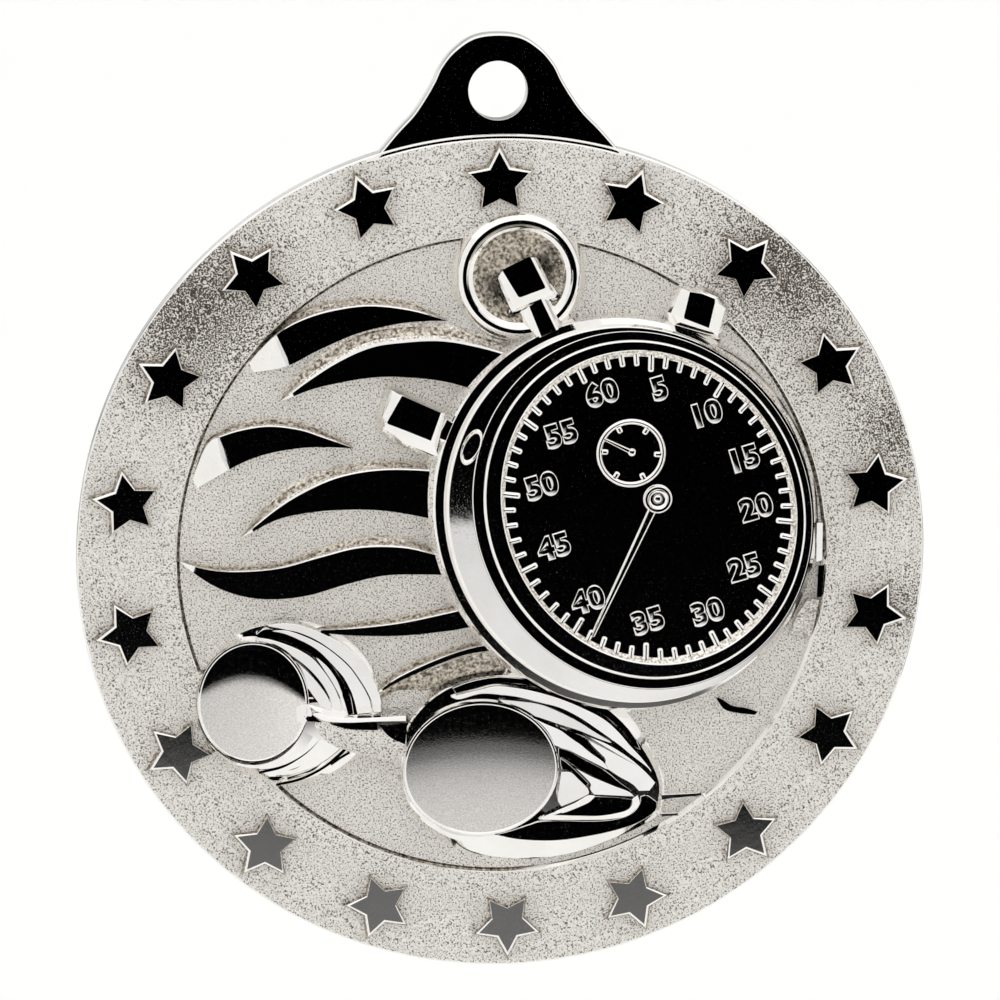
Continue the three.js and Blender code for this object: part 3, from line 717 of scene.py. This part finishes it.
# Rounded blocks of each piece: base outline, outline of the flat top, height, corner radius, and the angle
# in degrees through which the top edge rolls over.
BLOCKS = [
    ("crown-knob", "crown", [([-0.54, 16.77, 0.42, 14.17, 3.7, 15.3, 2.38, 18.11],
                              [0.01, 17.29, 0.98, 15.64, 2.55, 16.19, 1.64, 18.07], 3.0, 0.35, 62)]),
    ("crown-stem", "crown_stem", [([0.8, 14.5, 1.9, 12.9, 3.75, 13.75, 3, 15.6],
                                   [1.59, 15.09, 2.28, 13.3, 3.15, 13.65, 2.29, 15.49], 2.72, 0.1, 62)]),
    ("left-pusher", "pusher_left", [
        ([-7.35, 8.9, -7.3, 7.7, -6, 6.75, -3.5, 5.75, -3, 8.9, -5.81, 10.3, -6.75, 10.45],
         [-6.76, 8.5, -6.71, 8.39, -5.6, 7.93, -4.22, 7.33, -3.62, 8.97, -5.77, 9.99, -5.87, 10.03],
         2.9, 0.06, 55),
        ([-4, 7, -2.9, 6.2, -2.4, 8.2, -3.5, 8.9], [-3.78, 7.45, -3.15, 7.2, -2.8, 8.2, -3.25, 8.5],
         2.6, 0.05, 62)]),
    ("right-pusher", "pusher_right", [
        ([9.5, 14.5, 9.9, 13.5, 12.95, 12.6, 13.45, 14.46, 12.95, 15.5, 11.66, 16.1, 10.3, 16],
         [10.6, 14.3, 10.62, 14.18, 12.06, 13.59, 12.42, 15.1, 12.4, 15.3, 11.7, 15.6, 10.95, 15.74],
         2.8, 0.06, 55)]),
]


def crown_and_pushers():
    for name, node, blocks in BLOCKS:
        shape = Shape()
        for block in blocks:
            shape.block(*block)
        piece(name, shape, [node], sharp=8)


# ---- Goggles ----
def by_angle(outline, centre, count=240):
    """The outline resampled so that point i lies in the direction i turns of the way round."""
    curve = through(outline, 1600, closed=True) - centre
    angle = np.arctan2(curve[:, 1], curve[:, 0]) % TURN
    order = np.argsort(angle)
    wanted = np.linspace(0, TURN, count, endpoint=False)
    reach = np.interp(wanted, angle[order], np.hypot(curve[:, 0], curve[:, 1])[order], period=TURN)
    return centre + around(reach, wanted)


def sector(first, last, soften, count=240):
    """1 between two directions given in degrees, fading to 0 outside them."""
    turn = np.linspace(0, 360, count, endpoint=False)
    middle, half = (first + last) / 2, (last - first) / 2
    away = np.abs((turn - middle + 180) % 360 - 180)
    return np.clip((half - away) / soften + 1, 0, 1)


def lens_ring(lens, grow=0.0):
    x, y, half_width, half_height = lens
    return by_angle(ellipse(x, y, half_width + grow, half_height + grow, 0), (x, y))


def lens_dome(name, node, lens, top, line, slope, soft):
    """A lens in a thin rim. It leans slightly up above a line and turns down below it.

    line gives, for each x, the y where the lens starts to turn down; soft is the width of that bend."""
    x, y = lens[:2]

    def height(ring):
        above = ring[:, 1] - y - line(ring[:, 0] - x)
        below = np.clip(-above / soft, -20, 20)
        turned = np.maximum(np.log1p(np.exp(below)), -above / soft)
        return top - 0.03 * above - slope * soft * turned

    rows = [level(lens_ring(lens, 0.05), UNDER + 0.2)]
    for grow, rise in ((0.0, -0.04), (-0.04, 0.03), (-0.13, 0.05), (-0.2, 0.0)):
        ring = lens_ring(lens, grow)
        rows.append(level(ring, height(ring) + rise))
    glass = lens_ring(lens, -0.2) - (x, y)
    for share in (0.97, 0.9, 0.8, 0.7, 0.6, 0.5, 0.4, 0.3, 0.2, 0.1, 0.003):
        ring = glass * share + (x, y)
        rows.append(level(ring, height(ring)))
    piece(name, Shape().skin(rows, kinds=[0] * 4 + [1] * 11), [node], [POLISHED, SATIN], sharp=14)


# Facets cut into the two cups and the bridge: height in millimetres at the given x or y, slope along that
# axis, and outline. Slopes along y catch the pale lower room, slopes along x stay dark.
LEFT_FACETS = {
    "outer band": (2.15, "y", -7, 0.15, [-12.9, -3.75, -12, -4, -10.8, -4.65, -9.35, -5.9, -8.5, -7.1,
        -7.9, -8.3, -7.75, -9.1, -7.35, -9.1, -7.4, -8.2, -7.75, -7.15, -8.4, -5.95, -9.45, -4.9,
        -10.65, -4.15, -11.9, -3.6, -12.9, -3.4, -13.9, -3.5]),
    "second band": (2.25, "y", -7, 0.15, [-12.9, -4, -12.05, -4.4, -11.1, -5, -10.25, -5.9, -9.4, -7,
        -8.95, -8.1, -8.7, -9.15, -7.9, -9.1, -8.05, -8.25, -8.6, -7.15, -9.4, -6, -10.85, -4.75,
        -12.6, -3.9, -13.65, -3.8]),
    "ledge": (2.02, "x", -9, -0.09, [-13.8, -4.25, -12.9, -4.55, -12.05, -5, -11.25, -5.45, -10.65, -6,
        -10.05, -6.95, -9.6, -8.05, -9.3, -9.15, -8.95, -9.1, -9.15, -7.95, -9.7, -6.9, -10.3, -5.95,
        -11.15, -5.05, -12.05, -4.4, -12.9, -4, -13.8, -3.75, -14.25, -3.8, -14.6, -4.05]),
    "strip": (2.3, "y", -7, 0.15, [-10.65, -6.3, -10.15, -7.15, -9.7, -8.15, -9.55, -9.1, -9.3, -9.1,
        -9.55, -8.15, -9.9, -7.1, -10.45, -6.2, -11.15, -5.5]),
    "third band": (2.35, "y", -7, 0.15, [-14.3, -4.6, -13.5, -4.9, -12.55, -5.35, -11.6, -6.15,
        -10.8, -7.15, -10.3, -8.2, -10.2, -8.95, -9.65, -9.1, -9.8, -8.2, -10.2, -7.25, -10.75, -6.35,
        -11.35, -5.6, -12.05, -5.1, -12.95, -4.65, -13.8, -4.35, -14.5, -4.2]),
    "fourth band": (2.45, "y", -7, 0.15, [-13.05, -5.55, -12.2, -6.35, -11.65, -7.35, -11.05, -8.25,
        -10.65, -8.95, -10.3, -8.9, -10.4, -8.25, -10.95, -7.3, -11.75, -6.3, -12.65, -5.5, -13.95, -4.9]),
    "dark 3": (2.25, "x", -12, 0, [-12.8, -12.4, -11.95, -12.05, -11.25, -11.45, -10.8, -10.7, -11, -10.6,
        -11.4, -11.35, -12, -11.85, -12.8, -12.2, -13.85, -12.25]),
    "dark 4": (2.05, "x", -12, 0, [-12.95, -13, -12.2, -12.75, -11.4, -12.5, -10.75, -12, -10.85, -11.9,
        -11.45, -12.35, -12.2, -12.65, -13, -12.85]),
    "dark 5": (1.95, "x", -12, 0, [-10.35, -12.3, -9.75, -11.9, -9.15, -11.55, -9.25, -11.4, -9.8, -11.7,
        -10.4, -12.15]),
    "groove 1": (2.5, "x", -12, 0, [-14.6, -12.35, -13.2, -12, -12, -11.3, -11.2, -10.5, -10.8, -9.9,
        -10.7, -9.95, -11.1, -10.6, -11.95, -11.42, -13.2, -12.13, -14.6, -12.45]),
    "groove 2": (2.2, "x", -12, 0, [-13.6, -13.2, -12.2, -12.9, -10.9, -12.3, -9.8, -11.45, -9.2, -10.8,
        -9.1, -10.85, -9.75, -11.57, -10.9, -12.42, -12.2, -13.02, -13.6, -13.3]),
    "dark 1": (2.35, "x", -9, 0, [-15.15, -12.3, -14.25, -12.35, -14.2, -12.15, -15.15, -11.95,
        -15.6, -12]),
    "dark 2": (2.1, "x", -9, 0, [-13.7, -13.05, -13.15, -12.8, -13.65, -12.7, -14.2, -12.85]),
}

RIGHT_FACETS = {
    "top ledge": (2.1, "x", 7, -0.07, [-2.95, -7.85, -1.75, -7.55, -0.6, -7.35, 0.9, -7.5, 2.35, -7.9,
        3.85, -8.5, 5.65, -9.45, 6.65, -10.3, 7.4, -11.25, 7.75, -11.65, 8.05, -11.8, 7.7, -11.05,
        6.95, -10.05, 5.65, -8.9, 3.85, -8, 2.4, -7.4, 0.9, -7.15, -0.6, -7, -2.05, -7.2, -3.15, -7.55]),
    "white band": (2.5, "y", -11, 0.16, [-2.7, -8.15, -1.5, -7.85, -0.3, -7.95, 0.85, -8.15, 2.05, -8.5,
        3.25, -8.9, 4.4, -9.55, 5.6, -10.45, 6.8, -11.4, 7.4, -11.95, 8.45, -12.85, 8.7, -13.2, 8, -12.25,
        7.35, -11.5, 6.55, -10.5, 5.6, -9.65, 3.85, -8.7, 2.35, -8.1, 0.9, -7.7, -0.6, -7.5, -1.8, -7.75,
        -3.15, -8.05]),
    "leaf": (2.62, "y", -10, 0.14, [0.85, -9.05, 2.05, -9.5, 3.2, -9.95, 4.4, -10.4, 5.45, -10.9,
        6.3, -11.25, 5.45, -10.7, 4.4, -9.95, 3.2, -9.25, 2.05, -8.75, 0.85, -8.5, -0.35, -8.35]),
    "inner right": (2.62, "y", -11, 0.16, [4.45, -10.45, 5.1, -11.25, 5.9, -12.15, 5.95, -12.75,
        6.75, -13.35, 7.55, -13.85, 7.95, -14.3, 8.55, -14.3, 8.85, -13.85, 8.25, -13.15, 7.35, -12.3,
        6.4, -11.6, 5.6, -11.15, 4.4, -10.65, 3.2, -10.15]),
    "wedge 1": (2.6, "x", 3.4, -0.1, [3.85, -10.8, 4.4, -11.25, 5, -11.75, 5.65, -12.25, 5.8, -12.15,
        5.1, -11.4, 4.75, -10.95, 4.4, -10.5, 3.35, -10.3]),
    "inner left": (2.72, "y", -11, 0.16, [1.6, -9.8, 2.3, -10.5, 2.95, -11.2, 3.8, -11.55, 4.4, -11.9,
        5.55, -12.55, 6.05, -12.85, 5.7, -12.4, 4.95, -11.8, 4.4, -11.3, 3.75, -10.8, 3.2, -10.35,
        2.3, -9.9, 1.45, -9.45, 0.85, -9.25]),
    "wedge 2": (2.6, "x", 3.2, -0.1, [3.1, -11.85, 3.55, -12.25, 4.25, -12.7, 5, -13.15, 5.6, -13.5,
        6.45, -13.9, 7.5, -14.3, 6.75, -13.7, 6.2, -13.2, 5.6, -12.75, 4.4, -12.05, 3.8, -11.65,
        3.1, -11.4]),
    "wedge 3": (2.75, "x", 3.2, -0.1, [3.2, -12.35, 3.3, -12.7, 3.75, -12.8, 4.1, -13.15, 4.75, -13.8,
        4.9, -13.65, 4.25, -12.95, 3.65, -12.35, 3.2, -12]),
    "triangle": (2.62, "y", -14, 0.14, [3.2, -13.7, 3.1, -14.6, 3.3, -15, 4.05, -14.7, 4.85, -14.3,
        4.8, -14, 4.25, -13.4, 3.8, -12.95, 3.3, -12.9]),
    "band": (2.5, "y", -13, 0.16, [3.75, -12.3, 4.35, -12.9, 5.05, -13.7, 5.05, -14.1, 5.25, -14.4,
        6.45, -14.5, 7.55, -14.6, 7.25, -14.35, 6.45, -14, 5.6, -13.6, 5, -13.3, 4.25, -12.85, 3.55, -12.4,
        3.2, -11.95]),
    "half moon": (2.35, "x", 3.2, -0.03, [4.1, -15.7, 5.6, -15.75, 6.75, -15.6, 7.25, -15.4, 7.5, -15.1,
        7.5, -14.8, 6.5, -14.65, 5.3, -14.55, 4.85, -14.65, 4.4, -15, 3.5, -15.35, 2.75, -15.6]),
    "lip": (2.35, "y", -15.5, 0.2, [2.05, -15.85, 3.2, -15.9, 5.55, -15.95, 6.9, -15.85, 7.55, -15.5,
        7.9, -15, 7.8, -14.55, 7.55, -14.75, 7.55, -15.1, 7.3, -15.45, 6.75, -15.65, 5.6, -15.8,
        4.1, -15.75, 2.75, -15.65, 3.55, -15.4, 4.4, -15.05, 4.9, -14.8, 5.2, -14.5, 4.85, -14.45,
        4.1, -14.9, 3.2, -15.3, 2.3, -15.7]),
    "lower ledge": (2.25, "x", 3.2, -0.03, [0.8, -17.05, 2.9, -17.2, 5, -17, 6.8, -16.65, 8, -16.25,
        8.9, -15.65, 9.05, -15.1, 8.45, -14.65, 8.05, -14.7, 8, -15.1, 7.65, -15.6, 6.9, -15.95, 5.6, -16.1,
        3.2, -16, 2, -16, 1.4, -16.15, 0.2, -16.5, -0.7, -16.7]),
}

BRIDGE_FACETS = {
    "bulb": (2.9, "y", -8.8, 0.16, [-12.35, -8.4, -12.05, -8.25, -11.6, -8.25, -11.45, -8.9, -11.9, -9.4,
        -12.3, -9.25]),
    "bulb shadow": (2.88, "x", -12, -0.02, [-12, -8.75, -11.6, -8.45, -11.35, -9, -10.9, -9.35,
        -11.7, -9.25]),
    "upper lip": (2.8, "y", -9, 0.2, [-11.45, -8.9, -10.95, -9.25, -10.3, -9.42, -9.2, -9.5, -7.7, -9.48,
        -5.9, -9.5, -5.9, -9.15, -7.7, -9.2, -9.2, -9.2, -10.4, -9.1, -11.1, -8.8]),
    "shadow": (2.72, "x", -9, 0, [-10.4, -9.5, -9.2, -9.58, -7.65, -9.56, -7.6, -9.95, -9.2, -9.85]),
    "hollow": (2.74, "x", -7, 0, [-7.45, -9.7, -6.85, -9.72, -5.85, -9.6, -6, -10.85, -6.85, -10.4]),
}


def eased(corners):
    """A smooth outline through the points that keeps its sharp corners."""
    spacing, sharp_turn = 0.14, 48
    p = pairs(corners)
    into, away = p - np.roll(p, 1, 0), np.roll(p, -1, 0) - p
    cross = into[:, 0] * away[:, 1] - into[:, 1] * away[:, 0]
    turn = np.degrees(np.abs(np.arctan2(cross, (into * away).sum(1))))
    tips = [i for i in range(len(p)) if turn[i] > sharp_turn]
    if not tips:
        return through(p, 64, closed=True)
    out = []
    for a, b in zip(tips, tips[1:] + [tips[0] + len(p)]):
        run = np.array([p[i % len(p)] for i in range(a, b + 1)])
        length = np.linalg.norm(np.diff(run, axis=0), axis=1).sum()
        out.extend(through(run, max(2, int(length / spacing) + 1))[:-1])
    return np.array(out)


def facets(shape, table, grow=0.0):
    """Flat facets on a seat. Those that slope along x also lean up the face; the others may grow."""
    lean, edge_width, foot = 0.04, 0.025, 1.6
    for height, axis, start, slope, corners in table.values():
        outline = eased(corners)
        if axis == "y":
            outline = inset(outline, -grow)
        middle = outline[:, 1].mean()

        def plane(points):
            if axis == "y":
                return height + slope * (points[:, 1] - start)
            return height + slope * (points[:, 0] - start) - lean * (points[:, 1] - middle)

        top = inset(outline, edge_width)
        rim = plane(outline) - edge_width
        shape.skin([level(outline, foot), level(outline, rim), level(top, plane(top))])
    return shape


def left_cup():
    """Bands that run down from the top right of the left lens to the bridge and on below it."""
    lens = lens_ring(LENS_LEFT, 0.02)
    outer = by_angle(ellipse(-12.95, -8.45, 5.42, 4.95, 0), LENS_LEFT[:2])
    bare = sector(112, 345, 14)  # where no bands hide the seat, and it rises to the lens
    rows = [level(outer + (outer - lens.mean(0)) * 0.03, UNDER)]
    for share, seat, bare_seat in ((1.0, 1.6, 1.6), (0.93, 1.74, 1.74), (0.9, 1.75, 1.8), (0.6, 1.75, 2.15),
                                   (0.2, 1.78, 2.6), (0.0, 1.8, 2.75)):
        rows.append(level(lens + (outer - lens) * share, bare_seat * bare + seat * (1 - bare)))
    shape = facets(Shape().skin(rows, last_cap=False), LEFT_FACETS, 0.03)
    piece("left-cup", shape, ["cup_left"], sharp=6)


RIGHT_OUTLINE = [9.4, -14.2, 9.2, -13.2, 8.6, -11.9, 7.4, -9.9, 6.1, -8.75, 4.4, -7.8, 2.2, -7.1,
    0.3, -6.85, -1.6, -6.95, -3.3, -7.4, -4.8, -8.35, -6, -9.8, -6.35, -11.4, -6.3, -13, -6, -14.6,
    -5.2, -15.95, -3.9, -17.1, -2.4, -17.9, -0.4, -18.3, 1.5, -18.45, 3.9, -18.2, 6.2, -17.45, 8, -16.7,
    9.1, -15.9]
RIGHT_LEDGE = [9.1, -15, 9.15, -13.9, 8.6, -12.5, 7.7, -11.05, 6.9, -10.05, 5.6, -8.9, 3.9, -8, 2.4, -7.4,
    0.9, -7.12, -0.6, -7.02, -2.1, -7.2, -3.6, -7.8, -4.9, -8.8, -5.9, -10.3, -6.2, -12.4, -5.85, -14.4,
    -4.9, -15.6, -3.4, -16.55, -1.8, -16.85, -0.5, -16.78, 0.8, -17.05, 2.9, -17.18, 5, -17, 6.8, -16.6,
    8, -16.2, 8.9, -15.6]


def right_cup():
    """A low seat with a polished rim; nested facets fan out from the lens and meet at the strap's clip."""
    lens = lens_ring(LENS_RIGHT, 0.02)
    outline, ledge = by_angle(RIGHT_OUTLINE, LENS_RIGHT[:2]), by_angle(RIGHT_LEDGE, LENS_RIGHT[:2])
    ledge_z = 1.95 + 0.3 * sector(205, 300, 20) + 0.5 * sector(60, 190, 45)
    rows = [level(outline + (outline - lens.mean(0)) * 0.02, UNDER), level(outline, 1.6),
            level(ledge + (outline - ledge) * 0.35, ledge_z - 0.12), level(ledge, ledge_z),
            level(lens + (ledge - lens) * 0.9, ledge_z + 0.01),
            level(lens + (ledge - lens) * 0.5, ledge_z + 0.02), level(lens, ledge_z + 0.03)]
    shape = facets(Shape().skin(rows, last_cap=False), RIGHT_FACETS, 0.05)
    piece("right-cup", shape, ["cup_right"], sharp=7)


def bridge():
    """A bar with a rolled upper edge that runs from the left lens to the right one."""
    top = through([-12.35, -8.75, -11.7, -8.5, -10.4, -9.35, -9.2, -9.75, -7.7, -9.87, -5.9, -9.6], 60)
    bottom = through([-12.35, -9.9, -11.9, -10.45, -10.4, -10.95, -9.2, -11.4, -7.5, -11.9, -5.9, -12.3],
                     60)
    section = [(-0.1, UNDER), (0.0, 2.1), (0.1, 2.3), (0.3, 2.5), (0.5, 2.62), (0.7, 2.69), (0.86, 2.71),
               (0.95, 2.66), (1.0, 2.5), (1.04, UNDER)]
    rows = [level(bottom + (top - bottom) * share, z) for share, z in section]
    shape = facets(Shape().skin(rows, closed=False, last_cap=False, kinds=[1] * 9), BRIDGE_FACETS)
    piece("nose-bridge", shape, ["nose_bridge"], [POLISHED, GRAINED], sharp=14)


def strap(name, node, corners):
    piece(name, Shape().ridge(rounded(corners, 0.08, 4), 0.12, UNDER, 2.0), [node])


# ---- The whole medal ----
disc()
band()
for number in range(STAR_COUNT):
    star(number)
loop()
for number, lines in enumerate(WAVES, 1):
    wave(f"wave-{number}", **lines)
for number, (material, table) in enumerate(WAVE_ENDS, 1):
    wave_end(f"wave-end-{number}", material, table)
for build in (watch_case, stem_lug, watch_bezel, watch_dial, minute_marks, numerals, watch_hand, hand_hub,
              subdial, subdial_hand, bow, crown_and_pushers, left_cup, right_cup):
    build()
lens_dome("left-lens", "lens_left", LENS_LEFT, 2.95, lambda x: 1.6 - 0.13 * x ** 2 - 0.1 * x, 0.14, 0.12)
lens_dome("right-lens", "lens_right", LENS_RIGHT, 3.1, lambda x: 1.2 - 0.03 * x ** 2, 0.125, 0.9)
bridge()
strap("upper-strap", "strap_upper", [9.2, -15.05, 11.8, -14.85, 11.8, -14.5, 9.2, -14.55])
strap("lower-strap", "strap_lower", [9.2, -16.1, 10.4, -16.05, 10.4, -15.7, 9.2, -15.7])


# ---- Studio, in metres ----
def glowing(name):
    material = bpy.data.materials.new(name)
    material.use_nodes = True
    tree = material.node_tree
    tree.nodes.clear()
    light = add(tree, "Emission", {"Strength": 1.0})
    add(tree, "OutputMaterial", {"Surface": light.outputs["Emission"]})
    return material, tree, light


def stage_mesh(name, points, faces, material, smooth=False):
    mesh = bpy.data.meshes.new(name)
    mesh.from_pydata(points, [], faces)
    mesh.materials.append(material)
    for polygon in mesh.polygons:
        polygon.use_smooth = smooth
    obj = new_object(name, mesh)
    return obj


def cove():
    """A round pale floor that curves up into a wall on every side."""
    floor_z, top_z, wall, bend, count = -0.5, 1.1, 1.5, 0.7, 96
    section = [(0.001, floor_z), (wall - bend, floor_z)]
    for step in np.linspace(0, math.pi / 2, 14)[1:]:
        section.append((wall - bend + bend * math.sin(step), floor_z + bend * (1 - math.cos(step))))
    section.append((wall, top_z))
    shape = Shape().skin(rings(section, count), last_cap=False)
    pale = {"Base Color": (0.97, 0.97, 0.965, 1), "Roughness": 0.9, "Specular IOR Level": 0.1}
    material, _, _ = principled("pale cove", pale)
    stage_mesh("cove", shape.points, shape.faces, material, smooth=True)


def reflection_only(obj):
    obj.visible_camera = False
    obj.visible_diffuse = False
    obj.visible_shadow = False
    obj.visible_transmission = False
    obj.visible_volume_scatter = False


def slanted_height(tree, slope, low, high):
    """0 to 1 between two heights, measured along lines that slope down to the right; and x."""
    apart = add(tree, "SeparateXYZ", {"Vector": own_position(tree)})
    inputs = {0: apart.outputs["X"], 1: slope, 2: apart.outputs["Z"]}
    slant = add(tree, "Math", inputs, operation="MULTIPLY_ADD").outputs["Value"]
    upward = add(tree, "MapRange", {"Value": slant, "From Min": low, "From Max": high})
    return upward.outputs["Result"], apart.outputs["X"]


def shaded_room():
    """Soft bands of light and shade behind and beside the medal, for its polished back and edge."""
    material, tree, light = glowing("shaded room")
    upward, _ = slanted_height(tree, 0.35, -0.5, 0.5)
    bands = [(0, 0.95), (0.14, 0.35), (0.26, 0.9), (0.36, 0.3), (0.5, 0.85), (0.62, 0.35), (0.8, 0.95),
             (1, 0.5)]
    tree.links.new(ramp(tree, upward, bands), light.inputs["Color"])
    corners = [(0.8, -0.06), (0.8, 0.5), (-0.8, 0.5), (-0.8, -0.06)]
    points = [(x, y, z) for z in (-0.45, 0.6) for x, y in corners]
    walls = [(side, side + 1, side + 5, side + 4) for side in range(3)]
    reflection_only(stage_mesh("shaded room", points, walls, material))


def dark_window():
    """The dark opening of the room in front of the medal, which its level faces mirror.

    Below its lower edge, which slants, the room is dim in the middle and pale on the left."""
    material, tree, light = glowing("dark window")
    low, high = -0.40, -0.10
    upward, across = slanted_height(tree, 0.18, low, high)

    def glow(stops):
        return ramp(tree, upward, [((z - low) / (high - low), brightness) for z, brightness in stops])

    dim = glow([(-0.40, 1.1), (-0.32, 0.98), (-0.27, 0.8), (-0.235, 0.6), (-0.20, 0.36), (-0.175, 0.155),
                (-0.158, 0.15), (-0.142, 0.0)])
    pale = glow([(-0.40, 1.0), (-0.30, 0.9), (-0.16, 0.78), (-0.152, 0.74), (-0.147, 0.0)])
    side = add(tree, "MapRange", {"Value": across, "From Min": -0.075, "From Max": -0.03},
               interpolation_type="SMOOTHSTEP")
    mix = add(tree, "Mix", {"Factor": side.outputs["Result"], "A": pale, "B": dim}, data_type="RGBA")
    tree.links.new(mix.outputs["Result"], light.inputs["Color"])
    left, right, distance, top = -0.26, 0.36, -0.5, 0.14
    points = [(left, distance, low), (right, distance, low), (right, distance, top), (left, distance, top)]
    reflection_only(stage_mesh("dark window", points, [(0, 1, 2, 3)], material))


def world_light():
    world = bpy.data.worlds.new("studio")
    world.use_nodes = True
    background = world.node_tree.nodes["Background"]
    background.inputs["Color"].default_value = (1.0, 0.995, 0.985, 1)
    background.inputs["Strength"].default_value = 1.2
    bpy.context.scene.world = world


def camera():
    """About 12 degrees above and 4 degrees left of the medal's face, turned a little about its own axis."""
    lens = bpy.data.cameras.new("camera")
    lens.sensor_width = 36.0
    lens.lens = 158.33
    lens.clip_start = 0.01
    obj = new_object("camera", lens)
    obj.location = (-0.018994, -0.253556, 0.055845)
    aim = Vector((-0.00018, -0.0022, 0.003574))
    turn = (aim - Vector(obj.location)).to_track_quat("-Z", "Y").to_matrix().to_4x4()
    roll = Matrix.Rotation(math.radians(-0.587), 4, "Z")
    obj.rotation_euler = (turn @ roll).to_euler()
    bpy.context.scene.camera = obj


world_light()
cove()
dark_window()
shaded_room()
camera()
bpy.context.scene.view_settings.view_transform = "Standard"
